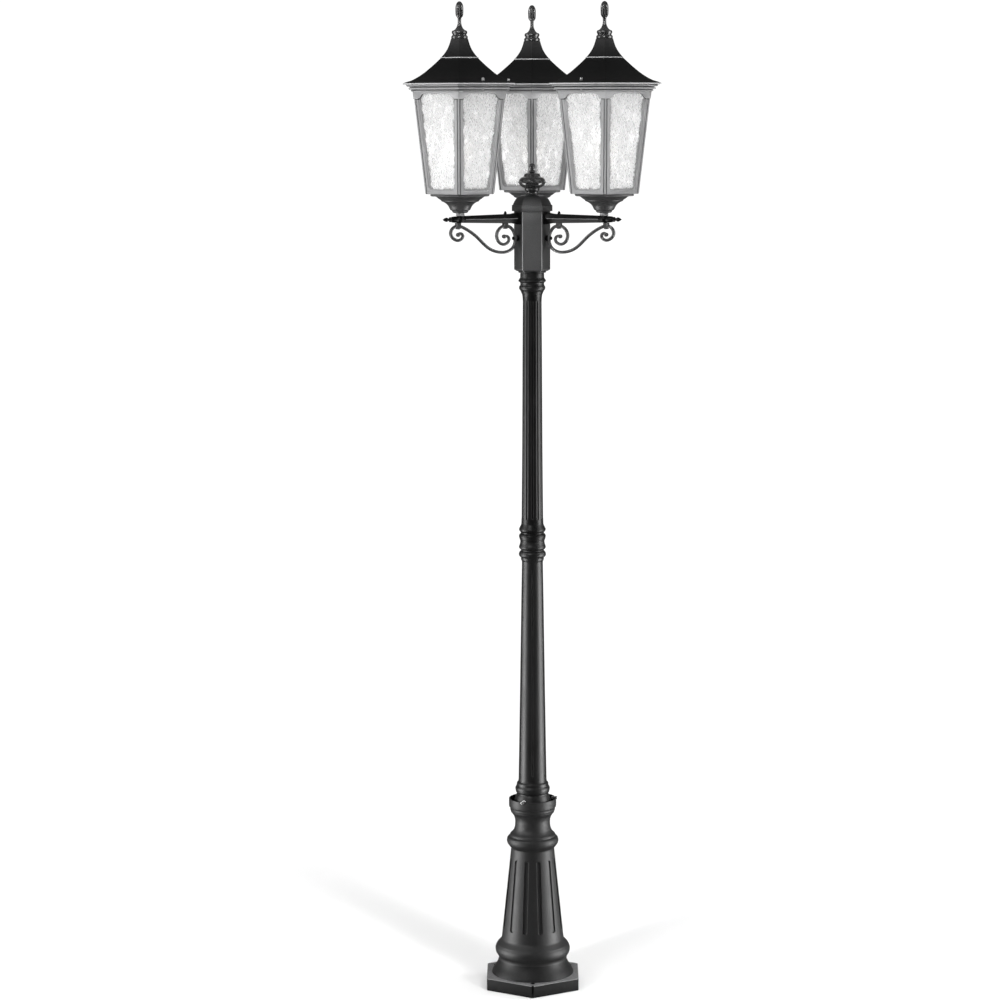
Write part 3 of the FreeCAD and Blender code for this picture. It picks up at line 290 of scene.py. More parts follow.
# ------------------------------------------------------------------ mesh tools
class Build(object):
    """Collects rings and faces in millimetres, then makes one object."""

    def __init__(self):
        self.v, self.f, self.m = [], [], []

    def ring(self, pts):
        i = len(self.v)
        self.v += [tuple(p) for p in pts]
        return list(range(i, i + len(pts)))

    def face(self, idx, mat=0):
        self.f.append(tuple(idx))
        self.m.append(mat)

    def bridge(self, a, b, mat=0, closed=True):
        if len(a) == 1 and len(b) == 1:
            return
        if len(a) == 1:
            n = len(b)
            for i in range(n):
                self.face((a[0], b[(i + 1) % n], b[i]), mat)
            return
        if len(b) == 1:
            n = len(a)
            for i in range(n):
                self.face((a[i], a[(i + 1) % n], b[0]), mat)
            return
        n = len(a)
        for i in range(n if closed else n - 1):
            j = (i + 1) % n
            self.face((a[i], a[j], b[j], b[i]), mat)

    def stack(self, rings, cap0=True, cap1=True, mats=None, loop=False):
        ids = [self.ring(r) for r in rings]
        for k in range(len(ids) - 1):
            self.bridge(ids[k], ids[k + 1], mats[k] if mats else 0)
        if loop:
            self.bridge(ids[-1], ids[0], mats[-1] if mats else 0)
            return ids
        if cap0 and len(ids[0]) > 2:
            self.face(ids[0][::-1], mats[0] if mats else 0)
        if cap1 and len(ids[-1]) > 2:
            self.face(ids[-1], mats[-1] if mats else 0)
        return ids

    def corners(self, first, mat, per=4):
        """Gives another material to the rounded corners of the quads made since a face count."""
        for i in range(first, len(self.f)):
            if len(self.f[i]) == 4 and (i - first) % per != per - 1:
                self.m[i] = mat

    def caps(self, loops, flip=False, mat=0):
        """Fills an outline with holes; loops are index lists, the first is the outline."""
        flat = [i for lp in loops for i in lp]
        tris = tessellate_polygon([[Vector(self.v[i]) for i in lp] for lp in loops])
        for t in tris:
            t = [flat[i] for i in t]
            self.face(t[::-1] if flip else t, mat)

    def merge(self, other, matrix=None):
        k = len(self.v)
        self.v += [tuple(matrix @ Vector(p)) if matrix is not None else p for p in other.v]
        self.f += [tuple(i + k for i in f) for f in other.f]
        self.m += other.m
        return self

    def obj(self, name, mats, body, nodes=(), slot=None, angle=32.0, weld=0.0, recalc=True):
        me = bpy.data.meshes.new(name)
        me.from_pydata([(x * MM, y * MM, z * MM) for x, y, z in self.v], [], self.f)
        for mm in mats:
            me.materials.append(mm)
        for p, k in zip(me.polygons, self.m):
            p.material_index = k
        bm = bmesh.new()
        bm.from_mesh(me)
        if weld > 0:
            bmesh.ops.remove_doubles(bm, verts=bm.verts, dist=weld * MM)
        loose = [v for v in bm.verts if not v.link_faces]
        if loose:
            bmesh.ops.delete(bm, geom=loose, context="VERTS")
        if recalc:
            bmesh.ops.recalc_face_normals(bm, faces=bm.faces)
        bm.to_mesh(me)
        bm.free()
        me.shade_smooth()
        me.set_sharp_from_angle(angle=math.radians(angle))
        ob = bpy.data.objects.new(name, me)
        scene.collection.objects.link(ob)
        if body:
            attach(ob, body)
        if nodes:
            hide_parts(*nodes)
        return ob


def v2(p):
    return Vector((p[0], p[1]))


def turn_at(a, b, c):
    u, w = b - a, c - b
    if u.length < 1e-9 or w.length < 1e-9:
        return 0.0
    return math.degrees(u.angle(w))


def catmull(p0, p1, p2, p3, t):
    return 0.5 * (2 * p1 + (p2 - p0) * t + (2 * p0 - 5 * p1 + 4 * p2 - p3) * t * t
                  + (3 * p1 - p0 - 3 * p2 + p3) * t ** 3)


def soften(points, fillet=0.9, sharp=33.0, steps=3, longest=60.0):
    """Smooths gentle stretches of an outline and rounds its sharp corners."""
    P = [v2(p) for p in points]
    n = len(P)
    hard = [i for i in range(n) if i in (0, n - 1) or turn_at(P[i - 1], P[i], P[i + 1]) > sharp]
    runs = []
    for a, b in zip(hard[:-1], hard[1:]):
        seg = P[a:b + 1]
        if len(seg) == 2:
            runs.append(seg)
            continue
        out = []
        for i in range(len(seg) - 1):
            p1, p2 = seg[i], seg[i + 1]
            if (p2 - p1).length > longest:
                out.append(p1)
                continue
            p0 = seg[i - 1] if i > 0 and (p1 - seg[i - 1]).length < longest else p1 * 2 - p2
            p3 = seg[i + 2] if i + 2 < len(seg) and (seg[i + 2] - p2).length < longest else p2 * 2 - p1
            for k in range(steps):
                out.append(catmull(p0, p1, p2, p3, k / float(steps)))
        out.append(seg[-1])
        runs.append(out)
    line = [runs[0][0]]
    for r, run in enumerate(runs):
        inner = run[1:-1]
        if r + 1 < len(runs):
            b = run[-1]
            a = inner[-1] if inner else run[0]
            c = runs[r + 1][1]
            th = math.radians(turn_at(a, b, c))
            a0, c0 = run[0], runs[r + 1][-1]
            d = fillet * math.tan(min(th, 2.6) / 2.0)
            # walk back and forward along the line to where the round begins
            d = min(d, 0.45 * (b - a0).length, 0.45 * (c0 - b).length)
            while inner and (inner[-1] - b).length < d * 1.02:
                inner.pop()
            nxt = runs[r + 1]
            while len(nxt) > 2 and (nxt[1] - b).length < d * 1.02:
                nxt.pop(1)
            p0 = b + ((inner[-1] if inner else line[-1]) - b).normalized() * d
            p2 = b + (nxt[1] - b).normalized() * d
            line += inner
            k = 4 if th > 1.1 else 3
            line += [p0 * (1 - t) ** 2 + b * 2 * t * (1 - t) + p2 * t * t for t in [q / float(k) for q in range(k + 1)]]
        else:
            line += inner + [run[-1]]
    out = [line[0]]
    for p in line[1:]:
        if (p - out[-1]).length > 0.02:
            out.append(p)
    return [(p.x, p.y) for p in out]


def with_levels(profile, levels):
    """Adds points at the given heights where the outline rises past them."""
    out = [profile[0]]
    for (r0, z0), (r1, z1) in zip(profile[:-1], profile[1:]):
        if z1 > z0:
            for z in sorted(levels):
                if z0 + 0.05 < z < z1 - 0.05:
                    t = (z - z0) / (z1 - z0)
                    out.append((r0 + (r1 - r0) * t, z))
        out.append((r1, z1))
    return out


def turned(B, profile, seg=96, centre=(0.0, 0.0), loop=False, shape=None, thetas=None, mats=None):
    rings = []
    for r, z in profile:
        if r < 1e-6:
            rings.append([(centre[0], centre[1], z)])
            continue
        ths = thetas(r, z) if thetas else [2 * math.pi * i / seg for i in range(seg)]
        ring = []
        for th in ths:
            rr = shape(th, r, z) if shape else r
            ring.append((centre[0] + rr * math.cos(th), centre[1] + rr * math.sin(th), z))
        rings.append(ring)
    ids = [B.ring(r) for r in rings]
    for k in range(len(ids) - 1):
        B.bridge(ids[k], ids[k + 1], mats[k] if mats else 0)
    if loop:
        B.bridge(ids[-1], ids[0], mats[-1] if mats else 0)
    return B


def fluted(count, first, half, low, high, depth, wall, ends):
    """Column angles and the cut's depth for slots of one width round a shaft."""
    inner = [-1.06, -1.0, -0.94, -0.80, -0.55, -0.28, 0.0, 0.28, 0.55, 0.80, 0.94, 1.0, 1.06]
    outside = 5

    def thetas(r, z):
        step = 2 * math.pi / count
        out = []
        for p in range(count):
            c = math.radians(first) + p * step
            out += [c + u * half / r for u in inner]
            a, b = c + inner[-1] * half / r, c + step + inner[0] * half / r
            out += [a + (b - a) * k / (outside + 1.0) for k in range(1, outside + 1)]
        return out

    def shape(th, r, z):
        step = 2 * math.pi / count
        c = math.radians(first)
        x = ((th - c + step / 2.0) % step - step / 2.0) * r
        dz = max(0.0, low + half - z, z - (high - half))
        d = half - math.hypot(x, dz)
        if d <= 0:
            return r
        if wall > 0:
            t = min(1.0, d / wall)
            return r - depth * t * (1.6 - 0.6 * t)
        t = min(1.0, d / half)
        return r - depth * math.sqrt(max(0.0, 1 - (1 - t) ** 2))

    levels = []
    for k in range(0, 9):
        s = half * (1 - math.cos(math.radians(k * 11.25)))
        levels += [low + s, high - s]
    levels += [low - 0.6, high + 0.6]
    n = int((high - low) / 24.0)
    levels += [low + half + (high - low - 2 * half) * i / float(n) for i in range(1, n)]
    return thetas, shape, levels


def rounded_loop(points, radius, k=3):
    """A polygon's corners replaced by arcs; always len(points) * (k + 1) points."""
    P = [v2(p) for p in points]
    n = len(P)
    out = []
    for i in range(n):
        a, b, c = P[i - 1], P[i], P[(i + 1) % n]
        ua, uc = (a - b), (c - b)
        half = (math.pi - ua.angle(uc)) / 2.0
        d = min(radius * math.tan(half), 0.45 * ua.length, 0.45 * uc.length)
        p0, p2 = b + ua.normalized() * d, b + uc.normalized() * d
        for q in range(k + 1):
            t = q / float(k)
            out.append(p0 * (1 - t) ** 2 + b * 2 * t * (1 - t) + p2 * t * t)
    return [(p.x, p.y) for p in out]


def hexagon(R, start=-90.0):
    return [(R * math.cos(math.radians(start + 60 * i)), R * math.sin(math.radians(start + 60 * i))) for i in range(6)]


def hex_rows(profile, radius=1.2, k=3, centre=(0.0, 0.0)):
    return [[(x + centre[0], y + centre[1], z) for x, y in rounded_loop(hexagon(R), min(radius, R * 0.2), k)]
            for R, z in profile]


def offset_loop(pts, d):
    """Moves a counter-clockwise loop inwards by d (outwards if d is negative)."""
    P = [v2(p) for p in pts]
    n = len(P)
    out = []
    for i in range(n):
        a, b, c = P[i - 1], P[i], P[(i + 1) % n]
        e0, e1 = (b - a).normalized(), (c - b).normalized()
        n0, n1 = Vector((-e0.y, e0.x)), Vector((-e1.y, e1.x))
        m = (n0 + n1)
        if m.length < 1e-6:
            m = n0
        m.normalize()
        q = max(0.35, m.dot(n0))
        out.append(b + m * (d / q))
    return [(p.x, p.y) for p in out]


def circle_loop(cx, cy, r, n=28, start=0.0):
    return [(cx + r * math.cos(2 * math.pi * i / n + start), cy + r * math.sin(2 * math.pi * i / n + start)) for i in range(n)]


def slab(B, outline, holes, rows, to3d, mat=0):
    """Plate with holes. rows are (inset, height) from one face to the other; outline and holes run
    counter-clockwise, and an inset makes the outline smaller and the holes larger."""
    outer, inner = [], [[] for _ in holes]
    for inset, t in rows:
        outer.append(B.ring([to3d(x, y, t) for x, y in offset_loop(outline, inset)]))
        for h, lp in enumerate(holes):
            inner[h].append(B.ring([to3d(x, y, t) for x, y in offset_loop(lp, -inset)]))
    for k in range(len(rows) - 1):
        B.bridge(outer[k], outer[k + 1], mat)
        for h in range(len(holes)):
            B.bridge(inner[h][k + 1], inner[h][k], mat)
    B.caps([outer[0]] + [i[0] for i in inner], True, mat)
    B.caps([outer[-1]] + [i[-1] for i in inner], False, mat)
    return B


def plain3(x, y, t):
    return (x, y, t)


def bevel_rows(t0, t1, b, b2=None):
    b2 = b if b2 is None else b2
    return [(b, t0), (b * 0.29, t0 + b * 0.29), (0, t0 + b), (0, t1 - b2), (b2 * 0.29, t1 - b2 * 0.29), (b2, t1)]


def carve(build, *cutters):
    """Takes the cutters' volume out of one closed shell and gives the rest back."""
    ob = build.obj("carved", [], None)
    for c in cutters:
        md = ob.modifiers.new("cut", "BOOLEAN")
        md.operation = "DIFFERENCE"
        md.solver = "EXACT"
        md.object = c
    bpy.context.view_layer.update()
    dg = bpy.context.evaluated_depsgraph_get()
    me = bpy.data.meshes.new_from_object(ob.evaluated_get(dg))
    out = Build()
    out.v = [tuple(v.co / MM) for v in me.vertices]
    out.f = [tuple(p.vertices) for p in me.polygons]
    out.m = [0] * len(out.f)
    for o in (ob,) + cutters:
        bpy.data.objects.remove(o)
    bpy.data.meshes.remove(me)
    return out


def polar(angle, reach):
    a = math.radians(angle)
    return reach * math.cos(a), reach * math.sin(a)


def about(angle, reach=0.0, level=0.0):
    """Matrix that puts local x outwards at an azimuth, z up."""
    x, y = polar(angle, reach)
    return Matrix.Translation((x, y, level)) @ Matrix.Rotation(math.radians(angle), 4, "Z")


def outward(angle, reach, level):
    """Matrix that points local z outwards at an azimuth."""
    return about(angle, reach, level) @ Matrix.Rotation(math.radians(90), 4, "Y")


# ------------------------------------------------------------------ pedestal
def rod(name, r, h, place, seg=24):
    C = Build()
    C.stack([[tuple(place @ Vector((x, y, z))) for x, y in circle_loop(0, 0, r, seg)] for z in (0.0, h)])
    return C.obj(name, [], None)


plate = Build()
hexa = rounded_loop(hexagon(130.2), 5.0, 5)
holes = [circle_loop(*polar(a, 107.0), 4.5) for a in (270, 30, 150)]
slab(plate, hexa, holes + [circle_loop(0, 0, 66.0, 72)], bevel_rows(0.0, 30.0, 0.6, 1.5), plain3)
plate = carve(plate, rod("cut_n", 2.5, 30.0, Matrix.Translation((0, -128.2, 8.0))))
B = Build()
cone_thetas, cone_shape, cone_levels = fluted(12, 15.0, 5.75, 142.0, 321.0, 3.6, 1.5, 0)
outer = soften([
    (100.7, 26.0), (100.8, 30.0), (99.2, 34.5), (95.8, 40.6), (91.8, 46.5), (88.5, 52.0), (85.6, 58.5),
    (84.0, 64.5), (84.4, 70.3), (86.7, 75.4), (89.3, 78.8), (91.0, 83.0), (92.0, 87.8), (92.1, 91.5),
    (91.3, 95.6), (89.9, 99.0), (89.0, 100.1), (88.7, 100.9), (87.3, 103.6), (85.1, 106.0), (82.6, 108.7),
    (80.3, 111.2), (78.1, 113.8), (76.8, 116.4), (76.3, 119.0), (66.8, 210.6), (58.8, 287.0), (53.1, 343.0)],
    0.5, 40.0, 3, 60.0)[:-1] + soften([
    (53.1, 343.0), (53.3, 345.2), (54.7, 347.7), (57.2, 350.2), (60.4, 354.8), (62.3, 358.2), (63.4, 363.0),
    (63.3, 366.0), (62.2, 370.3), (60.2, 373.0), (57.2, 375.2), (56.6, 375.7), (56.3, 377.4), (54.8, 380.6),
    (52.3, 383.1), (49.8, 385.6), (47.9, 388.1), (46.3, 390.8), (45.2, 393.4), (43.9, 398.0), (43.1, 404.0),
    (42.9, 412.0), (43.4, 417.0), (44.4, 421.2), (46.3, 426.2), (49.5, 431.2), (50.9, 433.3), (51.9, 433.9),
    (53.0, 435.6), (54.1, 439.6), (54.9, 441.0), (55.2, 444.6), (56.2, 448.0), (58.0, 451.5), (58.0, 469.5),
    (54.6, 469.5), (54.6, 449.6), (38.5, 449.6), (38.5, 395.0)], 0.7, 36.0, 3, 60.0)
inside = [(33.0, 395.0), (33.0, 372.0), (43.6, 341.0), (49.2, 287.0), (57.0, 210.0), (65.8, 112.0), (65.8, 6.0), (100.7, 6.0)]
turned(B, with_levels(outer, cone_levels) + inside, thetas=cone_thetas, shape=cone_shape, loop=True)
B = carve(B, *[rod("cut_%d" % i, 4.2, 14.0, outward(a, 50.0, 468.6)) for i, a in enumerate((245.0, 5.0, 125.0))])
# the foot's faces take the painted-shade copy of the coat
B.m = [4 if min(B.v[j][2] for j in f) > 25.9 and max(B.v[j][2] for j in f) < 65.0 else 0 for f in B.f]
# the plate's faces start with the painted-shade copy of the coat
plate.m = [2] * len(plate.f)
for i, f in enumerate(plate.f):
    cx = sum(plate.v[j][0] for j in f) / len(f)
    cy = sum(plate.v[j][1] for j in f) / len(f)
    cz = sum(plate.v[j][2] for j in f) / len(f)
    # the top edge bevel takes the painted-highlight coat
    if 28.45 < cz < 29.99 and math.hypot(cx, cy) > 110.5:
        plate.m[i] = 1
    # the plate's top face takes the painted-light coat
    elif min(plate.v[j][2] for j in f) > 29.9 and all(math.hypot(plate.v[j][0], plate.v[j][1]) > 60.0 for j in f):
        plate.m[i] = 3
B.merge(plate)
B.obj("pedestal_casting", [M_PED, M_PED_EDGE_HIGHLIGHT, M_PLATE_SHADE, M_PLATE_TOP_LIT, M_FLARE_SHADE], "post", ["base_pedestal"], "pedestal_coat", 34.0)


def hex_socket_screw(B, M, r, length, socket, depth, dome=0.5):
    """Grub screw, its outer end at local z = length, with a six-sided recess."""
    body = Build()
    n = 24
    prof = [(r * 0.7, 0.0), (r, r * 0.35)]
    z = r * 0.35
    while z < length - 1.4:
        prof += [(r, z + 0.25), (r * 0.90, z + 0.5), (r, z + 0.75)]
        z += 1.0
    prof += [(r, length - 0.8), (r - 0.5, length - 0.1), (r - 0.8, length)]
    rings = [[(x, y, zz) for x, y in circle_loop(0, 0, rr, n)] for rr, zz in prof]

    def sock(rad, zz):
        out = []
        for i in range(n):
            a = 2 * math.pi * i / n
            k = math.cos(math.pi / 6) / math.cos((a % (math.pi / 3)) - math.pi / 6)
            out.append((rad * k * math.cos(a), rad * k * math.sin(a), zz))
        return out
    rings += [sock(socket * 1.08, length), sock(socket, length - 0.3), sock(socket, length - depth)]
    body.stack(rings)
    B.merge(body, M)


B = Build()
for a in (245.0, 5.0, 125.0):
    hex_socket_screw(B, outward(a, 46.0, 468.6), 3.9, 15.0, 2.3, 3.6)
B.obj("set_screws", [M_BRIGHT], "post", ["base_set_screws"], "bright_steel", 30.0)

# ------------------------------------------------------------------ shafts
th_lo, sh_lo, lv_lo = fluted(6, 30.0, 2.2, 529.0, 1041.0, 1.5, 0.0, 0)
low_out = soften([
    (46.9, 450.0), (47.0, 459.0), (45.6, 464.0), (42.8, 471.5), (40.2, 478.6), (38.5, 481.5), (38.9, 484.2),
    (40.6, 485.6), (41.7, 489.8), (42.4, 493.8), (41.9, 497.8), (39.6, 501.4), (38.9, 504.0), (38.6, 508.0),
    (37.0, 510.4), (35.4, 512.2), (34.5, 517.0), (34.3, 521.0), (33.0, 589.0), (31.8, 665.0), (30.5, 740.0),
    (29.4, 814.0), (28.2, 889.0), (27.1, 963.0), (25.7, 1040.0), (25.5, 1057.0), (25.9, 1059.4), (27.0, 1061.8),
    (27.8, 1064.0), (28.0, 1068.0), (29.0, 1069.8), (31.4, 1071.8), (32.7, 1074.4), (32.9, 1077.0),
    (32.4, 1080.0), (30.4, 1083.6), (28.0, 1085.4), (27.8, 1087.4), (29.2, 1089.0), (31.5, 1091.2),
    (32.6, 1093.8), (32.3, 1096.4), (31.4, 1099.2), (30.2, 1102.4), (29.6, 1106.0), (29.4, 1108.2)],
    0.4, 60.0, 3, 40.0)
turned(B := Build(), with_levels(low_out, lv_lo) + [(20.0, 1108.2), (20.0, 1068.0), (16.6, 1068.0), (16.6, 450.0)],
       thetas=th_lo, shape=sh_lo, loop=True)
B.obj("shaft_lower_tube", [M_SHAFT], "post", ["lower_shaft"], "shaft_coat", 36.0)

th_up, sh_up, lv_up = fluted(12, 30.0, 3.2, 1163.0, 1693.0, 1.5, 0.0, 0)
up_out = soften([
    (29.4, 1108.8), (29.8, 1111.2), (30.8, 1113.6), (32.0, 1118.0), (32.6, 1121.0), (32.1, 1123.4), (31.0, 1125.8),
    (28.6, 1127.8), (28.1, 1129.6), (28.9, 1131.4), (30.6, 1133.2), (31.9, 1135.6), (32.4, 1138.0),
    (31.7, 1140.5), (30.4, 1143.0), (29.1, 1145.6), (28.0, 1147.9), (27.1, 1150.4), (26.8, 1153.0),
    (26.2, 1170.0), (25.4, 1258.0), (24.8, 1331.0), (24.4, 1404.0), (24.05, 1477.0), (23.75, 1550.0),
    (23.3, 1622.0), (22.8, 1694.0), (23.3, 1701.5), (23.9, 1705.8), (24.6, 1709.0), (25.9, 1711.4),
    (26.7, 1713.8), (28.0, 1716.3)], 0.4, 60.0, 3, 40.0)
turned(B := Build(), with_levels(up_out, lv_up) + [(16.6, 1716.3), (16.6, 1148.5), (20.0, 1148.5), (20.0, 1108.8)],
       thetas=th_up, shape=sh_up, loop=True)
B.obj("shaft_upper_tube", [M_SHAFT_UP_SHADE], "post", ["upper_shaft"], "shaft_coat", 36.0)

turned(B := Build(), soften([
    (16.0, 1716.6), (28.1, 1716.6), (29.4, 1718.6), (31.0, 1720.8), (31.6, 1723.4), (31.4, 1725.8), (30.6, 1728.2),
    (28.8, 1730.5), (28.8, 1735.4), (30.2, 1737.5), (33.4, 1739.8), (33.1, 1741.4), (31.2, 1744.9),
    (29.4, 1747.3), (28.8, 1749.7), (28.8, 1757.0), (28.2, 1760.4), (10.4, 1760.4)], 0.6, 40.0)
       + [(10.4, 1742.0), (12.6, 1736.0), (12.6, 1687.0), (16.0, 1687.0)], 96, loop=True)
B.obj("shaft_top_capital", [M_SHAFT], "post", ["shaft_capital"], "shaft_coat", 36.0)

turned(B := Build(), soften([(10.4, 1760.6), (33.3, 1760.6), (33.3, 1763.9), (10.4, 1763.9)], 0.9, 40.0), 96, loop=True)
B.obj("hub_washer", [M_SHAFT], "post", ["hub_seat_washer"], "shaft_coat", 36.0)


# ------------------------------------------------------------------ hub
def hub_points(a, bb):
    da = (a + bb * 2.0) / (2.0 * R3)
    db = (a * 2.0 + bb) / (2.0 * R3)
    yk = bb * (R3 / 2.0) - da
    w = (a + bb) / 2.0
    return [(-(a / 2.0), -da), (a / 2.0, -da), (w, yk), (bb / 2.0, db), (-(bb / 2.0), db), (-w, yk)]


HA, HB = 46.6, 40.6
hub_face = (HA * 2.0 + HB) / (2.0 * R3)


def hub_row(k, z, radius=1.7, inset=0.0, seg=3):
    d = inset * 2.0 / R3
    return [(x, y, z) for x, y in rounded_loop(hub_points(HA * k - d, HB * k - d), radius, seg)]


B = Build()
rows = [hub_row(0.79, 1764.0, 1.2), hub_row(0.84, 1764.05, 1.4), hub_row(0.885, 1765.0), hub_row(0.985, 1767.6),
        hub_row(1.0, 1768.9), hub_row(1.0, 1769.6)]
rows += [hub_row(1.0, z) for z in (1800.0, 1840.0, 1880.0, 1906.2)]
rows += [hub_row(1.0, 1906.8, 1.5, 0.2), hub_row(1.0, 1907.0, 1.3, 0.7), hub_row(1.0, 1907.0, 1.0, 3.6),
         hub_row(1.0, 1906.5, 0.9, 4.0), hub_row(1.0, 1770.6, 0.9, 4.0), hub_row(1.0, 1770.0, 0.9, 4.6)]
B.stack(rows)
# the rounded corners take the painted-highlight coat
B.corners(0, 1)
B.m = [0 if max(abs(B.v[i][0]) for i in f) < 40.0 and min(B.v[i][2] for i in f) > 1769.0
       and max(math.hypot(B.v[i][0], B.v[i][1]) for i in f) < 41.0 else k for f, k in zip(B.f, B.m)]
# the hub's side faces take the painted-shade coat
for i, f in enumerate(B.f):
    cx = sum(B.v[j][0] for j in f) / len(f)
    if B.m[i] == 0 and abs(cx) > 12.0 and min(B.v[j][2] for j in f) > 1769.0:
        B.m[i] = 2
B.obj("hub_shell", [M_HUB_LIT, M_HUB_EDGE_HIGHLIGHT, M_HUB_SIDE_SHADE], "post", ["hub_box"], "hub_coat", 30.0)

B = Build()
cap = [(1.085, 1907.2, 1.6), (1.112, 1907.3, 1.7), (1.12, 1907.9, 1.8), (1.12, 1914.0, 1.8), (1.12, 1920.6, 1.8),
       (1.112, 1921.6, 1.8), (1.095, 1921.95, 1.8), (1.072, 1922.0, 1.8), (1.060, 1922.6, 1.8), (1.052, 1923.7, 1.7)]
dome = soften([(1.052 * 100, 1923.7), (1.03 * 100, 1926.0), (0.993 * 100, 1929.2), (0.928 * 100, 1934.4),
               (0.826 * 100, 1939.6), (0.72 * 100, 1943.4), (0.60 * 100, 1945.6)], 0.5, 50.0, 3, 60.0)
cap += [(k / 100.0, z, 1.7) for k, z in dome[1:]]
rows = [hub_row(k, z, r) for k, z, r in cap]
rows.append(hub_row(0.2, 1945.7, 0.6))
low = [hub_row(1.0, 1901.1, 0.9, 4.6), hub_row(1.0, 1907.2, 0.9, 4.6)]
under = [hub_row(0.2, 1941.0, 0.6), hub_row(0.54, 1940.0, 0.8), hub_row(0.70, 1934.0, 0.8), hub_row(0.80, 1922.0, 0.8),
         hub_row(0.80, 1901.0, 0.8)]
B.stack(under + low + rows)
# the cap's side faces take the painted-shade coat
for i, f in enumerate(B.f):
    if abs(sum(B.v[j][0] for j in f) / len(f)) > 14.0:
        B.m[i] = 1
B.obj("cap_shell", [M_CAP_LIT, M_HUB_SIDE_SHADE], "cap", ["hub_cap"], "hub_coat", 30.0)

turned(B := Build(), [(0.0, 1945.8)] + soften([
    (13.6, 1945.8), (14.4, 1947.0), (14.3, 1949.4), (13.5, 1950.4), (13.9, 1953.0), (15.6, 1955.6), (17.6, 1957.4),
    (17.9, 1959.6), (17.3, 1961.4), (21.5, 1963.2), (25.6, 1965.6), (29.0, 1968.8), (31.2, 1972.4), (31.6, 1974.2),
    (34.0, 1975.2), (34.0, 1976.8), (31.4, 1977.8), (30.8, 1981.0), (28.6, 1984.6), (25.4, 1987.4), (20.4, 1989.6),
    (19.6, 1991.6), (18.8, 1994.2), (16.6, 1996.6), (12.4, 1998.0), (6.4, 1998.6), (7.6, 2000.2), (7.8, 2002.0),
    (7.0, 2003.8), (4.6, 2005.4), (4.8, 2007.0), (6.6, 2009.2), (7.5, 2012.4), (7.5, 2014.8), (6.6, 2018.0),
    (4.6, 2020.0), (2.4, 2020.8)], 0.35, 48.0) + [(0.0, 2021.0)], 72)
B.obj("cap_finial", [M_KNOB], "cap", ["hub_finial"], "hub_coat", 38.0)


# ------------------------------------------------------------------ arms
def arm_section(width, height):
    w2, h2, wt = width / 2.0, height / 2.0, width / 3.4
    return [(-wt, -h2), (wt, -h2), (w2, 0.0), (wt, h2), (-wt, h2), (-w2, 0.0)]


def arm_rows(rows, corner=0.9):
    out = []
    for u, w, h, c in rows:
        out.append([(u, y, 1891.4 + c + z) for y, z in rounded_loop(arm_section(w, h), corner, 3)])
    return out


def lerp_rows(keys, steps):
    out = []
    P = [Vector(k) for k in keys]
    for i in range(len(P) - 1):
        p0, p3 = P[max(i - 1, 0)], P[min(i + 2, len(P) - 1)]
        big = (P[i + 1] - P[i]).length > 30
        for k in range(steps if not big else 1):
            t = k / float(steps)
            out.append(tuple(catmull(p0, P[i], P[i + 1], p3, t)) if not big else tuple(P[i]))
    out.append(tuple(P[-1]))
    return out


for tag, ang in ARMS:
    M = about(ang)
    B = Build()
    fl = Build()
    slab(fl, rounded_loop([(-13.3, -15.2), (13.3, -15.2), (13.3, 13.8), (-13.3, 13.8)], 2.2, 4), [],
         bevel_rows(hub_face + 0.1, hub_face + 3.3, 0.3, 0.9), lambda y, z, t: (t, y, 1891.4 + z))
    B.merge(fl, M)
    bar = Build()
    keys = [(hub_face + 2.6, 24.0, 28.0, -0.6), (44.6, 23.2, 27.0, -0.6), (51.0, 21.3, 24.6, -0.6),
            (60.0, 19.5, 22.4, -0.7), (80.0, 18.6, 21.4, -0.7), (205.0, 14.5, 15.5, 0.1)]
    bar.stack(arm_rows(lerp_rows(keys, 4)))
    # raised ridge along each flank, in a light coat that is a painted highlight
    flat = len(bar.f)
    for s in (-1, 1):
        rr = []
        for u, w, h, c in [(46.0, 22.6, 0, -0.6), (60.0, 19.5, 0, -0.7), (80.0, 18.6, 0, -0.7), (184.0, 15.2, 0, 0.05)]:
            y0 = s * (w / 2.0 - 0.45)
            rr.append([(u, y0 + s * 0.85 * math.cos(q), 1891.4 + c + 0.85 * math.sin(q)) for q in
                       [2 * math.pi * i / 10 for i in range(10)]])
        bar.stack(rr)
    bar.m[flat:] = [1] * (len(bar.f) - flat)
    B.merge(bar, M)
    boss = Build()
    turned(boss, [(0.0, 1883.5)] + soften([(7.6, 1883.5), (8.8, 1884.4), (8.9, 1886.2), (9.9, 1887.4), (10.5, 1890.0),
                                           (10.5, 1893.0), (9.9, 1895.6), (8.9, 1896.8), (8.8, 1898.4), (8.2, 1899.7)],
                                          0.35, 40.0) + [(0.0, 1899.7)], 48, (196.0, 0.0))
    B.merge(boss, M)
    tip = Build()
    turned(tip, [(0.0, 201.0)] + soften([
        (7.0, 201.0), (7.1, 203.0), (7.5, 209.0), (7.2, 215.0), (6.4, 219.0), (5.2, 221.5), (5.9, 222.4), (5.9, 224.2),
        (4.6, 225.0), (3.3, 227.4), (3.5, 229.2), (4.6, 231.0), (5.0, 233.4), (4.5, 236.0), (3.0, 239.0),
        (1.4, 241.6)], 0.3, 46.0) + [(0.0, 243.7)], 40)
    B.merge(tip, M @ Matrix.Translation((0, 0, 1891.5)) @ Matrix.Rotation(math.radians(90), 4, "Y"))
    bud = Build()
    turned(bud, [(0.0, 1899.6)] + soften([
        (4.4, 1899.6), (4.4, 1901.2), (3.8, 1902.2), (3.3, 1903.4), (3.2, 1904.8), (2.7, 1906.4), (1.9, 1907.6),
        (1.1, 1908.5)], 0.3, 44.0) + [(0.0, 1908.8)], 28, (74.0, 0.0))
    B.merge(bud, M)
    B.obj("arm_casting_" + tag, [M_ARM, M_ARM_RIDGE_HIGHLIGHT], "post", ["arm_" + tag], "arm_coat", 32.0)

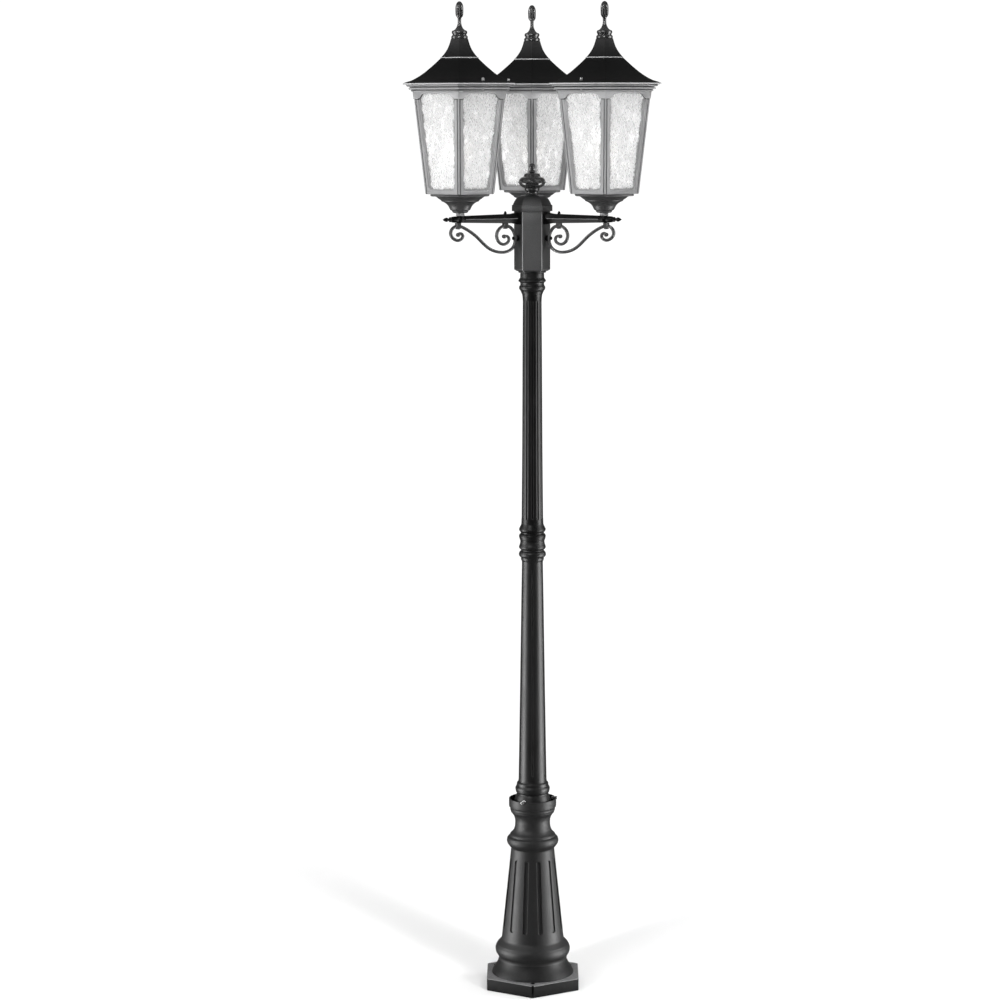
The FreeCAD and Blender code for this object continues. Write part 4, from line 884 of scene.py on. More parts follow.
# ------------------------------------------------------------------ scrolls
CENTRE = [(201.6, 1855.2), (198.0, 1858.4), (192.2, 1857.4), (189.2, 1851.8), (192.4, 1845.6),
          (199.4, 1842.2), (207.2, 1842.8), (215.4, 1847.2), (220.6, 1853.6), (221.8, 1861.0),
          (218.4, 1868.6), (211.0, 1874.2), (202.4, 1875.9), (194.4, 1874.4), (184.0, 1870.0),
          (172.6, 1863.8), (162.4, 1857.2), (152.3, 1849.6), (142.4, 1840.8), (133.3, 1832.4),
          (124.6, 1825.2), (115.9, 1819.6), (106.4, 1815.4), (96.7, 1812.6), (87.0, 1811.2),
          (77.6, 1811.0), (69.0, 1812.4), (61.0, 1815.4), (54.4, 1820.2), (49.8, 1826.4),
          (47.3, 1834.0), (46.9, 1843.0), (48.4, 1853.0), (52.4, 1861.6), (58.6, 1868.6),
          (66.0, 1872.6), (74.0, 1873.9), (82.0, 1872.0), (89.4, 1867.4), (95.0, 1860.4),
          (97.6, 1851.6), (95.8, 1842.2), (90.4, 1834.4), (82.0, 1830.2), (73.2, 1830.6),
          (66.4, 1835.0), (64.0, 1841.4), (66.6, 1847.2), (72.0, 1849.6), (77.0, 1848.4)]


def scroll_mesh():
    P = [v2(p) for p in CENTRE]
    line = []
    for i in range(len(P) - 1):
        p0, p1, p2, p3 = P[max(i - 1, 0)], P[i], P[i + 1], P[min(i + 2, len(P) - 1)]
        for k in range(4):
            line.append(catmull(p0, p1, p2, p3, k / 4.0))
    line.append(P[-1])
    n = len(line)
    C = Build()
    rings = []
    for i, p in enumerate(line):
        d = (line[min(i + 1, n - 1)] - line[max(i - 1, 0)]).normalized()
        nrm = Vector((-d.y, d.x))
        end = min(i, n - 1 - i) / 22.0
        taper = 0.80 + 0.20 * min(1.0, end)
        hw, hd = 3.6 * taper, 3.9 * (0.9 + 0.1 * min(1.0, end))
        ring = []
        for q in range(20):
            a = 2 * math.pi * q / 20
            ca, sa = math.cos(a), math.sin(a)
            x = math.copysign(abs(ca) ** 0.62, ca) * hw
            y = math.copysign(abs(sa) ** 0.62, sa) * hd
            ring.append((p.x + nrm.x * x, y, p.y + nrm.y * x))
        rings.append(ring)
    C.stack(rings)
    for u, z in (CENTRE[0], CENTRE[-1]):
        eye = Build()
        turned(eye, [(0.0, -4.7)] + soften([(2.2, -4.7), (3.9, -4.2), (4.7, -2.8), (4.7, 2.8), (3.9, 4.2), (2.2, 4.7)],
                                           0.6, 50.0) + [(0.0, 4.7)], 28)
        C.merge(eye, Matrix.Translation((u, 0, z)) @ Matrix.Rotation(math.radians(90), 4, "X"))
    return C


SCROLL = scroll_mesh()
for tag, ang in ARMS:
    B = Build().merge(SCROLL, about(ang))
    B.obj("scroll_bar_" + tag, [M_SCROLL], "post", ["scroll_" + tag], "scroll_coat", 40.0)

B = Build()
for tag, ang in ARMS:
    for u, top, low_ in ((202.0, 1883.4, 1868.0), (74.0, 1880.0, 1866.2)):
        c = Build()
        h = top - low_
        o = [(-5.6, h), (-5.6, 5.4), (-4.9, 2.4), (-2.6, 0.5), (0.0, 0.0), (2.6, 0.5), (4.9, 2.4), (5.6, 5.4), (5.6, h)]
        slab(c, rounded_loop(o, 0.8, 2), [], bevel_rows(-6.3, 6.3, 1.1), lambda x, z, t: (x, -t, z))
        B.merge(c, about(ang, u, low_))
B.obj("clip_saddles", [M_SCROLL], "post", ["scroll_clips"], "scroll_coat", 32.0)

B = Build()
for tag, ang in ARMS:
    k = Build()
    turned(k, [(0.0, 0.05)] + soften([(5.6, 0.05), (7.0, 0.9), (7.6, 2.2), (6.8, 3.3), (5.0, 3.9), (4.6, 4.5)], 0.3, 44.0)
           + [(0.0, 4.5)], 32)
    B.merge(k, outward(ang, hub_face, 1843.5))
    k = Build()
    turned(k, [(0.0, 0.0)] + soften([(4.3, 0.0), (4.4, 1.2), (3.7, 2.4), (2.2, 3.0)], 0.3, 40.0) + [(0.0, 3.0)], 28)
    B.merge(k, outward(ang, 51.3, 1843.5))
B.obj("scroll_fixings", [M_ARM], "post", ["scroll_screws"], "bright_steel", 34.0)

# ------------------------------------------------------------------ lantern necks
B = Build()
for tag, ang in ARMS:
    cx, cy = polar(ang, REACH)
    turned(B, soften([(5.2, 1899.9), (9.4, 1899.9), (10.5, 1901.0), (10.5, 1902.2), (9.3, 1903.2), (9.0, 1904.2),
                      (10.0, 1905.0), (10.4, 1906.0), (9.6, 1906.65), (5.2, 1906.65)], 0.25, 44.0), 48, (cx, cy), loop=True)
    nut = [[(x + cx, y + cy, z) for x, y in rounded_loop(hexagon(r, 0.0), 0.7, 2)]
           for r, z in ((9.0, 1918.1), (9.6, 1918.7), (9.6, 1923.4), (9.0, 1924.0))]
    B.stack(nut)
B.obj("neck_nuts", [M_NECK], "post", ["lantern_tube_nuts"], "plated_steel", 32.0)

# ------------------------------------------------------------------ lanterns
SL = (124.9 - 92.0) / (2206.0 - 1952.4)


def frame_R(z):
    return 92.0 + SL * (z - 1952.4)


def sector(k, x, z, depth):
    """Point of side k: x along the side, depth inwards from the posts' outer faces."""
    a = frame_R(z) * R3 / 2.0
    s = (a - depth) / a
    az = math.radians(-60.0 + 60.0 * k)
    nx, ny = math.cos(az), math.sin(az)
    return (nx * (a - depth) - ny * x * s, ny * (a - depth) + nx * x * s, z)


def arc_pts(cx, cz, r, a0, a1, n):
    return [(cx + r * math.cos(math.radians(a0 + (a1 - a0) * i / n)), cz + r * math.sin(math.radians(a0 + (a1 - a0) * i / n)))
            for i in range(n + 1)]


FLANGE = 11.0
Z0, Z1 = 1952.45, 2192.0
W0, W1 = 1962.3, 2187.6


def window_loop():
    """Counter-clockwise window outline with filled lower corners."""
    pts = []
    hw0 = frame_R(W0) / 2.0 - FLANGE
    hw1 = frame_R(W1) / 2.0 - FLANGE
    right = [(hw0 - 9.0, W0), (hw0 - 5.0, W0 + 0.9), (hw0 - 2.0, W0 + 3.2), (hw0 + 0.1, W0 + 7.0), (hw0 + 1.0, W0 + 11.0)]
    n = 8
    zr = W0 + 11.0
    for i in range(1, n + 1):
        z = zr + (W1 - zr) * i / float(n)
        right.append((frame_R(z) / 2.0 - FLANGE + 0.3, z))
    left = [(-x, z) for x, z in right[::-1]]
    return [(0.0, W0)] + right + [(0.0, W1)] + left


def panel(B, k):
    W = window_loop()
    steps = [(1.5, 0.0), (1.05, 0.2), (0.7, 0.7), (0.6, 2.5), (-1.3, 2.5), (-1.7, 2.8), (-1.8, 3.98)]
    rings = []
    for inset, depth in steps:
        lp = offset_loop(W, -inset)
        rings.append(B.ring([sector(k, x, z, depth) for x, z in lp]))
    for a, b in zip(rings[:-1], rings[1:]):
        B.bridge(b, a)
    zs = [Z0, Z0 + 0.7] + [Z0 + 0.7 + (Z1 - Z0 - 0.7) * i / 6.0 for i in range(1, 7)]
    cols = {}
    for side in (-1, 1):
        for name, dx, depth in (("f", 4.7, 0.0), ("g", 4.2, 1.2), ("m", 0.0, 1.2), ("b", 0.0, 3.98)):
            ids = []
            for i, z in enumerate(zs):
                dd = depth + (0.6 if i == 0 and name != "b" else 0.0)
                ids.append(B.ring([sector(k, side * (frame_R(z) / 2.0 - dx), z, dd)])[0])
            cols[(side, name)] = ids
    # the grooves beside each post take the painted-shade coat
    for side in (-1, 1):
        for a, b in (("f", "g"), ("g", "m")):
            ca, cb = cols[(side, a)], cols[(side, b)]
            for i in range(len(zs) - 1):
                q = (ca[i], cb[i], cb[i + 1], ca[i + 1])
                B.face(q if side > 0 else q[::-1], 1)
    # front face between the grooves, with the chamfer at its foot
    lf, rf = cols[(-1, "f")], cols[(1, "f")]
    outline = lf[1:][::-1]
    outline = rf[1:] + outline
    B.caps([outline[::-1], rings[0]], False)
    B.face((lf[0], rf[0], rf[1], lf[1]))
    lb, rb = cols[(-1, "b")], cols[(1, "b")]
    B.caps([rb + lb[::-1], rings[-1]], True)
    low_ = [lf[0], cols[(-1, "g")][0], cols[(-1, "m")][0], lb[0], rb[0], cols[(1, "m")][0], cols[(1, "g")][0], rf[0]]
    B.face(low_)
    top = [lf[-1], cols[(-1, "g")][-1], cols[(-1, "m")][-1], lb[-1], rb[-1], cols[(1, "m")][-1], cols[(1, "g")][-1], rf[-1]]
    B.face(top[::-1])


def header(B, k):
    """Raised head band of a side, with a bracket at each post."""
    zb, zt = 2173.5, 2191.0
    hw = frame_R(zb) / 2.0
    half = [(hw, zb), (hw - 6.0, zb), (hw - 11.4, zb), (hw - 12.2, zb + 0.2), (hw - 12.7, zb + 0.8)]
    half += [(hw - 14.2, zb + 1.2), (hw - 17.0, zb + 2.6), (hw - 19.3, zb + 5.2), (hw - 21.2, zb + 8.0), (hw - 24.0, zb + 10.2),
             (hw - 28.0, zb + 11.4), (hw - 34.0, zb + 12.0), (hw - 44.0, zb + 12.4)]
    path = half + [(0.0, 2186.3)] + [(-x, z) for x, z in half[::-1]]
    P = [v2(p) for p in path]
    n = len(P)
    nrm = []
    for i in range(n):
        if i in (0, n - 1):
            nrm.append(Vector((0, 1)))
            continue
        e0, e1 = (P[i] - P[i - 1]).normalized(), (P[i + 1] - P[i]).normalized()
        m = Vector((e0.y, -e0.x)) + Vector((e1.y, -e1.x))
        m.normalize()
        nrm.append(m / max(0.5, m.dot(Vector((e0.y, -e0.x)))))
    rows_ = [(0.0, 1.2), (0.0, -1.3), (0.25, -1.75), (0.8, -2.0)]
    rings = []
    for inset, depth in rows_:
        ring = []
        for i, p in enumerate(P):
            q = p + nrm[i] * inset
            x = q.x
            if i in (0, n - 1):
                x = math.copysign(frame_R(q.y) / 2.0, p.x)
            ring.append(sector(k, x, q.y, depth))
        rings.append(B.ring(ring))
    # the band's lower edge takes the painted-shade coat
    for q, (a, b) in enumerate(zip(rings[:-1], rings[1:])):
        B.bridge(a, b, 1 if q == 0 else 0, closed=False)
    t = frame_R(zt) / 2.0
    tf = B.ring([sector(k, -t, zt, -2.0), sector(k, t, zt, -2.0)])
    tb = B.ring([sector(k, -t, zt, 1.2), sector(k, t, zt, 1.2)])
    B.caps([rings[-1] + tf], False)
    B.caps([rings[0] + tb], True)
    B.face((tf[0], tf[1], tb[1], tb[0]))
    # thin strips under the band at each post, in the painted-shade coat
    for side in (-1, 1):
        loops = []
        for depth in (0.5, -0.35):
            pts = [(side * (frame_R(z) / 2.0 - dx), z) for dx, z in ((12.2, zb - 1.7), (0.4, zb - 1.7), (0.4, zb + 0.3), (12.2, zb + 0.3))]
            loops.append(B.ring([sector(k, x, z, depth) for x, z in (pts if side > 0 else pts[::-1])]))
        B.bridge(loops[0], loops[1], 1)
        B.face(loops[1], 1)
        B.face(loops[0][::-1], 1)


FRAME = Build()
shell = Build()
for k in range(6):
    panel(shell, k)
head = Build()
for k in range(6):
    header(head, k)


def welded(src, dist):
    """Welds a build's coincident points and drops nothing else."""
    me = bpy.data.meshes.new("tmp")
    me.from_pydata(src.v, [], src.f)
    for p, k in zip(me.polygons, src.m):
        p.material_index = k
    bm = bmesh.new()
    bm.from_mesh(me)
    bmesh.ops.remove_doubles(bm, verts=bm.verts, dist=dist)
    bmesh.ops.recalc_face_normals(bm, faces=bm.faces)
    bm.verts.index_update()
    out = Build()
    out.v = [tuple(v.co) for v in bm.verts]
    out.f = [tuple(v.index for v in f.verts) for f in bm.faces]
    out.m = [f.material_index for f in bm.faces]
    bm.free()
    bpy.data.meshes.remove(me)
    return out


FRAME.merge(welded(shell, 0.02))
FRAME.merge(welded(head, 0.02))
# bead along each post
for k in range(6):
    az = math.radians(-90.0 + 60.0 * k)
    c, s = math.cos(az), math.sin(az)
    rings = []
    for z in [1953.0, 1953.6] + [1953.6 + (2174.6 - 1953.6) * i / 5.0 for i in range(1, 6)]:
        r0 = frame_R(z) - 1.8
        rad = 2.1 if z > 1953.3 else 1.5
        rings.append([((r0 + rad * math.cos(q)) * c - rad * 1.05 * math.sin(q) * s,
                       (r0 + rad * math.cos(q)) * s + rad * 1.05 * math.sin(q) * c, z)
                      for q in [2 * math.pi * i / 16 for i in range(16)]])
    FRAME.stack(rings)
# stepped cornice
corn = [(119.6, 2190.0), (127.6, 2190.0), (127.6, 2191.2), (129.6, 2191.5), (130.2, 2191.8), (130.4, 2192.2),
        (130.4, 2192.8), (128.4, 2193.0), (128.4, 2195.0), (135.2, 2195.3), (135.8, 2195.9), (135.8, 2199.4), (135.3, 2199.8),
        (132.4, 2200.0), (132.4, 2202.0), (141.0, 2202.3), (141.6, 2202.9), (141.6, 2205.4), (141.1, 2205.9), (119.8, 2205.9)]
# the cornice's two grooves take the painted-shade coat
dark = {6, 7, 8, 12, 13, 14}
FRAME.stack(hex_rows(corn, 1.0, 3), loop=True, mats=[1 if i in dark else 0 for i in range(len(corn))])

GLASS = Build()
RIM = []
for k in range(6):
    nx, nz = 40, 92
    zlo, zhi = 1953.4, 2195.6
    grid = []
    for iz in range(nz + 1):
        z = zlo + (zhi - zlo) * iz / nz
        hw = (frame_R(z) - 4.6) / 2.0 - 3.6
        row = []
        for ix in range(nx + 1):
            x = -hw + 2 * hw * ix / nx
            p = Vector((x / 11.0 + 40.0 * k, z / 24.0, 3.7 * k))
            w = noise.noise(p * 0.6 + Vector((9.1, 2.2, 0.4)))
            h = noise.noise(p + Vector((w * 1.6, w * 0.9, 0.0))) + 0.45 * noise.noise(p * 2.3)
            edge = min(1.0, 6.0 * min(ix, nx - ix) / nx, 8.0 * min(iz, nz - iz) / nz)
            row.append(GLASS.ring([sector(k, x, z, 4.75 - 0.42 * h * edge)])[0])
            RIM.append(min(frame_R(z) / 2.0 - 12.5 - abs(x), z - 1964.1, 2191.0 - z))
        grid.append(row)
    for iz in range(nz):
        for ix in range(nx):
            GLASS.face((grid[iz][ix], grid[iz][ix + 1], grid[iz + 1][ix + 1], grid[iz + 1][ix]))
    rim = [grid[0][i] for i in range(nx + 1)] + [grid[j][nx] for j in range(1, nz + 1)] \
        + [grid[nz][i] for i in range(nx - 1, -1, -1)] + [grid[j][0] for j in range(nz - 1, 0, -1)]
    back = []
    for i in rim:
        x, y, z = GLASS.v[i]
        az = math.radians(-60.0 + 60.0 * k)
        back.append((x - 2.5 * math.cos(az), y - 2.5 * math.sin(az), z))
    bk = GLASS.ring(back)
    RIM += [0.0] * len(back)
    GLASS.bridge(bk, rim)
    GLASS.face(bk[::-1])

CUP = Build()
CUP.stack(hex_rows(soften([(40.0, 1946.6), (74.6, 1946.6), (79.5, 1948.6), (79.5, 1952.35), (40.0, 1952.35)], 0.7, 24.0, 2), 1.5, 3),
          loop=True)
turned(CUP, soften([
    (5.4, 1906.8), (14.6, 1906.8), (16.6, 1907.6), (18.9, 1909.2), (18.9, 1911.4), (20.8, 1912.6), (23.2, 1913.8),
    (24.4, 1916.1), (25.7, 1918.4), (26.8, 1920.8), (28.2, 1923.2), (30.1, 1925.6), (32.5, 1928.0), (35.6, 1930.3),
    (39.6, 1932.6), (43.4, 1934.0), (44.9, 1935.0), (45.2, 1936.6), (46.6, 1937.6), (49.8, 1939.6), (53.2, 1942.0), (56.2, 1944.4),
    (60.0, 1946.0), (63.5, 1946.9), (63.5, 1948.4), (53.0, 1948.4), (44.0, 1941.4), (35.0, 1934.9), (25.0, 1926.3),
    (19.0, 1918.1), (5.4, 1918.1)], 0.5, 36.0), 84, loop=True)

ROOF = Build()
roof_in = [(20.0, 2297.0), (28.0, 2285.0), (40.0, 2271.0), (60.0, 2254.0), (84.0, 2235.6), (106.0, 2222.0), (120.3, 2212.4),
           (120.3, 2206.5)]
eave = soften([(120.3, 2206.5), (147.4, 2206.5), (150.9, 2207.4), (151.3, 2208.4), (150.6, 2209.4), (149.0, 2210.0)], 0.4, 30.0, 2)
sweep = soften([(149.0, 2210.0), (141.6, 2212.6), (132.0, 2215.0), (125.4, 2217.3), (115.4, 2221.9), (106.6, 2226.5),
                (98.6, 2231.4), (91.4, 2236.0), (78.6, 2245.4), (66.6, 2254.6), (55.4, 2263.8), (50.4, 2268.0)], 0.4, 60.0, 2)
band = [(50.4, 2268.0), (50.9, 2268.5), (50.9, 2269.6), (50.4, 2270.1), (48.9, 2270.4)]
spire = soften([(48.9, 2270.4), (47.0, 2272.0), (41.4, 2277.6), (34.2, 2286.8), (29.0, 2296.0), (25.4, 2305.2), (22.9, 2312.9)],
               0.4, 60.0, 3)
prof = [(12.0, 2299.0)] + roof_in + eave[1:] + sweep[1:] + band[1:] + spire[1:] + [(12.0, 2313.0)]
n_a = len([(12.0, 2299.0)] + roof_in)
mats = []
for (r0, z0), (r1, z1) in zip(prof[:-1], prof[1:]):
    mid = ((r0 + r1) / 2.0, (z0 + z1) / 2.0)
    # the eave's rim and the spire's band take the painted-highlight coat
    lit = (mid[0] > 147.0 and mid[1] < 2210.1) or (49.5 < mid[0] < 51.5 and 2267.9 < mid[1] < 2270.8)
    mats.append(1 if lit else 0)
mats.append(0)
ROOF.stack(hex_rows(prof, 1.3, 3), mats=mats)

FINIAL = Build()
fin = soften([
    (3.0, 2313.1), (18.6, 2313.1), (19.4, 2314.0), (19.4, 2318.4), (17.6, 2320.4), (16.2, 2321.8), (16.2, 2323.6),
    (17.8, 2325.2), (18.2, 2328.6), (17.4, 2331.4), (12.6, 2333.4), (8.6, 2337.2), (6.2, 2341.8), (4.7, 2346.6), (4.1, 2352.0),
    (4.2, 2358.4), (4.9, 2361.6), (7.0, 2364.0), (8.6, 2367.4), (9.2, 2371.4), (9.4, 2377.0), (9.4, 2383.0), (9.0, 2388.4), (7.6, 2393.2),
    (5.2, 2397.2), (2.6, 2399.3)], 0.45, 40.0)


def bud_shape(th, r, z):
    if z < 2361.0:
        return r
    t = min(1.0, (z - 2361.0) / 5.0) * min(1.0, max(0.0, (2399.4 - z) / 9.0))
    q = (th * 8.0 / (2 * math.pi) + 0.62) % 1.0
    notch = max(0.0, 1.0 - abs(q - 0.5) / 0.20)
    return r * (1.0 - 0.17 * t * notch * notch * (3 - 2 * notch))


turned(FINIAL, [(0.0, 2313.1)] + fin + [(0.0, 2399.9)], 84, shape=bud_shape)

HOLDER = Build()
turned(HOLDER, soften([
    (5.4, 1958.0), (13.0, 1958.0), (15.0, 1960.0), (15.0, 1970.0), (18.6, 1973.6), (20.0, 1976.0), (20.0, 2007.0),
    (19.0, 2009.0), (14.3, 2009.0), (14.3, 1973.7), (5.4, 1973.7)], 0.8, 30.0), 56, loop=True)

BULB = Build()
thread = [(0.0, 1974.4), (5.0, 1974.4), (5.6, 1977.4), (12.0, 1981.0)]
z = 1983.0
while z < 2007.0:
    thread += [(13.1, z), (13.35, z + 0.9), (13.1, z + 1.8), (12.4, z + 2.6)]
    z += 3.5
thread += [(13.2, 2008.4)]
glassy = soften([(13.2, 2009.8), (14.6, 2011.4), (15.4, 2015.0), (18.0, 2024.0), (22.6, 2035.0), (27.0, 2044.0), (29.4, 2052.0),
                 (30.0, 2060.0), (29.2, 2067.0), (26.4, 2074.4), (20.6, 2081.6), (12.6, 2086.8), (5.0, 2089.0)], 0.4, 60.0)
mats = [0] * (len(thread) - 1 + 1) + [1] * len(glassy)
turned(BULB, thread + glassy + [(0.0, 2089.2)], 56, mats=mats + [1, 1])

SCREW = Build()
turned(SCREW, [(0.0, 2193.0)] + [(1.9, 2193.6), (1.9, 2214.7), (3.4, 2214.7)] + soften(
    [(3.5, 2214.9), (3.5, 2219.4), (3.1, 2221.6), (1.9, 2222.8)], 0.4, 24.0) + [(0.0, 2222.85)], 28)

for tag, ang in ARMS:
    cx, cy = polar(ang, REACH)
    M = Matrix.Translation((cx, cy, 0.0))
    rb, lb = "roof_" + tag, "lamp_" + tag
    Build().merge(FRAME, M).obj("lantern_cage_" + tag, [M_FRAME, M_RECESS_SHADE], "post", ["lantern_frame_" + tag], "lantern_coat", 26.0, recalc=True)
    pane = Build().merge(GLASS, M).obj("lantern_glass_" + tag, [M_GLASS], "post", ["glass_panes_" + tag], "hammered_glass", 60.0)
    pane.data.attributes.new("rim", "FLOAT", "POINT").data.foreach_set("value", RIM)
    Build().merge(CUP, M).obj("lantern_bowl_" + tag, [M_CUP], "post", ["lantern_cup_" + tag], "lantern_coat", 32.0)
    Build().merge(ROOF, M).obj("roof_shell_" + tag, [M_ROOF_SPIRE_LIT, M_EAVE_HIGHLIGHT], rb, ["lantern_roof_" + tag], "roof_coat", 24.0)
    Build().merge(FINIAL, M).obj("roof_flame_" + tag, [M_FIN], rb, ["roof_finial_" + tag], "roof_coat", 40.0)
    Build().merge(HOLDER, M).obj("holder_" + tag, [M_CERAMIC], "post", ["lampholder_" + tag], "holder_ceramic", 34.0)
    Build().merge(BULB, M).obj("lamp_bulb_" + tag, [M_PLATED, M_BULB], lb, ["bulb_" + tag], "bulb_glass", 40.0)
    start = 300.0 if tag == "left" else 240.0
    B = Build()
    for a in (start, start + 180.0):
        x, y = polar(a, 112.0)
        B.merge(SCREW, Matrix.Translation((cx + x, cy + y, 0.0)))
    B.obj("roof_screw_pair_" + tag, [M_SCREW], rb, ["roof_screws_" + tag], "bright_steel", 32.0)

# ------------------------------------------------------------------ carried-over parts
KEEP = {"shaft_coupling": M_PLATED, "hub_tube_nipple": M_PLATED, "hub_lock_nut": M_PLATED, "cap_bridge_rod": M_PLATED,
        "lantern_tubes": M_PLATED, "terminal_block": M_TERMINAL, "arm_bolts": M_BRIGHT}
for tag, ang in ARMS:
    KEEP["pane_retainer_" + tag] = M_PLATED
for name, m in KEEP.items():
    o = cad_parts[name]
    o.data.materials.clear()
    o.data.materials.append(m)

# ------------------------------------------------------------------ stage, light, camera
FLOOR_NEAR, FLOOR_FAR = 0.797, 0.866
m, nt, bsdf = new_mat("floor_white")
tc = nt.nodes.new("ShaderNodeTexCoord")
nz = tex_noise(nt, 3.0, 2.0, 0.5, tc.outputs["Object"])
col = ramp(nt, nz.outputs["Fac"], [(0.3, grey(0.995)), (0.7, grey(1.0))])
bsdf.inputs["Roughness"].default_value = 0.9
bsdf.inputs["Specular IOR Level"].default_value = 0.1
far = nt.nodes.new("ShaderNodeVectorMath")
far.operation = "LENGTH"
link(nt, tc.outputs["Object"], far.inputs[0])
tone = map_range(nt, far.outputs["Value"], 0.15, 1.35, FLOOR_NEAR, FLOOR_FAR)
paint = nt.nodes.new("ShaderNodeVectorMath")
paint.operation = "SCALE"
link(nt, col.outputs["Color"], paint.inputs[0])
link(nt, tone.outputs["Result"], paint.inputs["Scale"])
link(nt, paint.outputs["Vector"], bsdf.inputs["Base Color"])
fr = map_range(nt, far.outputs["Value"], 0.72, 1.75, 0.0, 1.0)
fr.interpolation_type = "SMOOTHSTEP"
glow = nt.nodes.new("ShaderNodeEmission")
glow.inputs["Strength"].default_value = 1.085
fm = nt.nodes.new("ShaderNodeMixShader")
lray = nt.nodes.new("ShaderNodeLightPath")
seen = nt.nodes.new("ShaderNodeMath")
seen.operation = "MAXIMUM"
link(nt, lray.outputs["Is Camera Ray"], seen.inputs[0])
link(nt, lray.outputs["Is Transmission Ray"], seen.inputs[1])
both = nt.nodes.new("ShaderNodeMath")
both.operation = "MULTIPLY"
link(nt, fr.outputs["Result"], both.inputs[0])
link(nt, seen.outputs["Value"], both.inputs[1])
link(nt, both.outputs["Value"], fm.inputs["Fac"])
lift = nt.nodes.new("ShaderNodeMath")
lift.operation = "MULTIPLY"
link(nt, seen.outputs["Value"], lift.inputs[0])
lift.inputs[1].default_value = 0.0
bsdf.inputs["Emission Color"].default_value = (1, 1, 1, 1)
link(nt, lift.outputs["Value"], bsdf.inputs["Emission Strength"])
link(nt, bsdf.outputs["BSDF"], fm.inputs[1])
link(nt, glow.outputs["Emission"], fm.inputs[2])
link(nt, fm.outputs["Shader"], nt.nodes["Material Output"].inputs["Surface"])
F = Build()
F.ring([(-40000, -40000, 0), (40000, -40000, 0), (40000, 40000, 0), (-40000, 40000, 0)])
F.face((0, 1, 2, 3))
floor = F.obj("floor", [m], None)
floor.location.z = -0.0004
floor.visible_glossy = False
floor.visible_shadow = False

world = bpy.data.worlds.new("studio")
scene.world = world
world.use_nodes = True
wn = world.node_tree
wn.nodes.clear()
wo = wn.nodes.new("ShaderNodeOutputWorld")
bg = wn.nodes.new("ShaderNodeBackground")
white = wn.nodes.new("ShaderNodeBackground")
white.inputs["Color"].default_value = (1, 1, 1, 1)
white.inputs["Strength"].default_value = 1.05
wtc = wn.nodes.new("ShaderNodeTexCoord")
sep = wn.nodes.new("ShaderNodeSeparateXYZ")
link(wn, wtc.outputs["Generated"], sep.inputs["Vector"])
fade = wn.nodes.new("ShaderNodeMapRange")
fade.interpolation_type = "SMOOTHSTEP"
for key, val in (("From Min", -1.0), ("From Max", 0.35), ("To Min", 0.012), ("To Max", 0.17)):
    fade.inputs[key].default_value = val
link(wn, sep.outputs["Y"], fade.inputs["Value"])
link(wn, fade.outputs["Result"], bg.inputs["Strength"])
bg.inputs["Color"].default_value = (1, 1, 1, 1)
lp = wn.nodes.new("ShaderNodeLightPath")
mx = wn.nodes.new("ShaderNodeMixShader")
seen = wn.nodes.new("ShaderNodeMath")
seen.operation = "MAXIMUM"
link(wn, lp.outputs["Is Camera Ray"], seen.inputs[0])
link(wn, lp.outputs["Is Transmission Ray"], seen.inputs[1])
link(wn, seen.outputs["Value"], mx.inputs["Fac"])
link(wn, bg.outputs["Background"], mx.inputs[1])
link(wn, white.outputs["Background"], mx.inputs[2])
link(wn, mx.outputs["Shader"], wo.inputs["Surface"])


def area(name, loc, target, w, h, power, glossy=True, diffuse=True):
    l = bpy.data.lights.new(name, "AREA")
    l.shape = "RECTANGLE"
    l.size, l.size_y = w, h
    l.energy = power
    o = bpy.data.objects.new(name, l)
    scene.collection.objects.link(o)
    o.location = loc
    o.rotation_mode = "QUATERNION"
    o.rotation_quaternion = (Vector(target) - Vector(loc)).to_track_quat("-Z", "Y")
    o.visible_glossy = glossy
    o.visible_diffuse = diffuse
    o.visible_camera = False
    return o


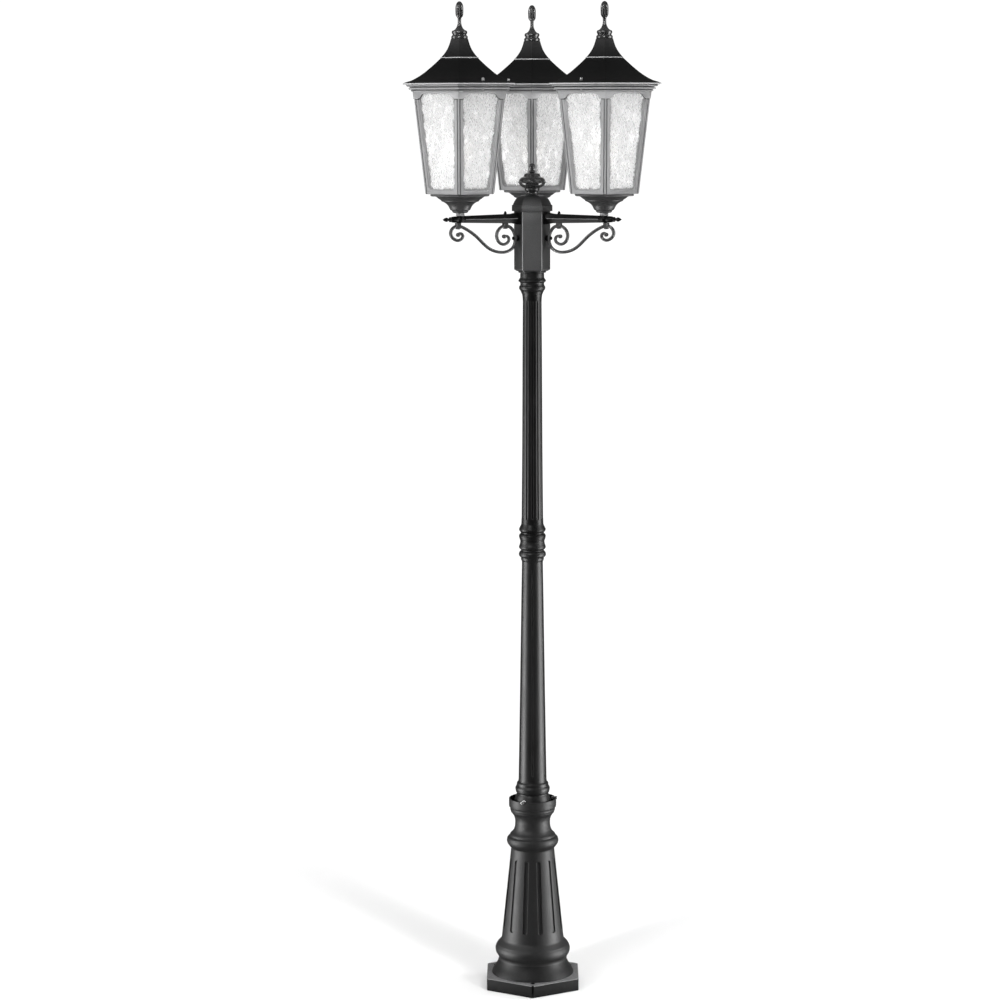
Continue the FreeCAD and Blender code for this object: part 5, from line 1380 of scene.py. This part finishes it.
area("overhead", (0, 0.6, 5.2), (0, 0.6, 0), 4.0, 4.0, 200, glossy=False)
area("key_left", (-2.3, -3.8, 4.4), (0, 0, 0.9), 0.7, 0.7, 62)
area("key_right", (2.3, -3.8, 4.4), (0, 0, 0.9), 0.7, 0.7, 80, glossy=False)
area("low_left", (-2.8, -0.35, -0.1), (0, 0, -0.1), 1.5, 2.2, 105, diffuse=False)
area("low_right", (2.8, -0.35, -0.1), (0, 0, -0.1), 1.5, 2.2, 112, diffuse=False)
area("side_left", (-2.8, -0.35, 2.25), (0, 0, 2.25), 1.5, 2.5, 46, diffuse=False)
area("side_right", (2.8, -0.35, 2.25), (0, 0, 2.25), 1.5, 2.5, 62, diffuse=False)


def beam(name, loc, target, power, angle, radius, glossy):
    l = bpy.data.lights.new(name, "SPOT")
    l.energy = power
    l.spot_size, l.spot_blend = math.radians(angle), 0.4
    l.shadow_soft_size = radius
    o = bpy.data.objects.new(name, l)
    scene.collection.objects.link(o)
    o.location = loc
    o.rotation_mode = "QUATERNION"
    o.rotation_quaternion = (Vector(target) - Vector(loc)).to_track_quat("-Z", "Y")
    o.visible_glossy = glossy


beam("lantern_beam", (-4.0, -2.8, 2.6), (0, 0, 2.12), 560, 11.0, 0.25, False)
beam("lantern_beam_right", (4.0, -2.8, 2.6), (0, 0, 2.12), 130, 11.0, 0.25, False)
beam("floor_right", (2.30, -3.85, 1.12), (-0.3, 0.5, 0.0), 650, 40.0, 0.24, False)
beam("floor_left", (-2.85, -3.5, 1.25), (0.3, 0.4, 0.0), 600, 40.0, 0.24, False)
beam("floor_side", (4.0, 0.75, 2.2), (-0.3, -0.05, 0.0), 230, 30.0, 0.28, False)
beam("top_beam", (-0.7, -5.0, 3.1), (0, 0, 2.25), 330, 8.8, 0.40, True)

scene.view_settings.view_transform = "Standard"

cd = bpy.data.cameras.new("camera")
cam = bpy.data.objects.new("camera", cd)
scene.collection.objects.link(cam)
PHI, DIST, EYE = math.radians(0.0), 7.0, 2.17
C = Vector((-DIST * math.sin(PHI), -DIST * math.cos(PHI), EYE))
fwd = (Vector((0, 0, 1.2091562)) - C).normalized()
yaw, roll = math.radians(0.64267), math.radians(-0.1319)
fwd = Matrix.Rotation(yaw, 3, "Z") @ fwd
cam.location = C
cam.rotation_mode = "QUATERNION"
cam.rotation_quaternion = Matrix.Rotation(-roll, 3, fwd).to_quaternion() @ fwd.to_track_quat("-Z", "Y")
cd.sensor_width = 36.0
cd.lens = 104.81529
cd.clip_start, cd.clip_end = 0.05, 200.0
scene.camera = cam
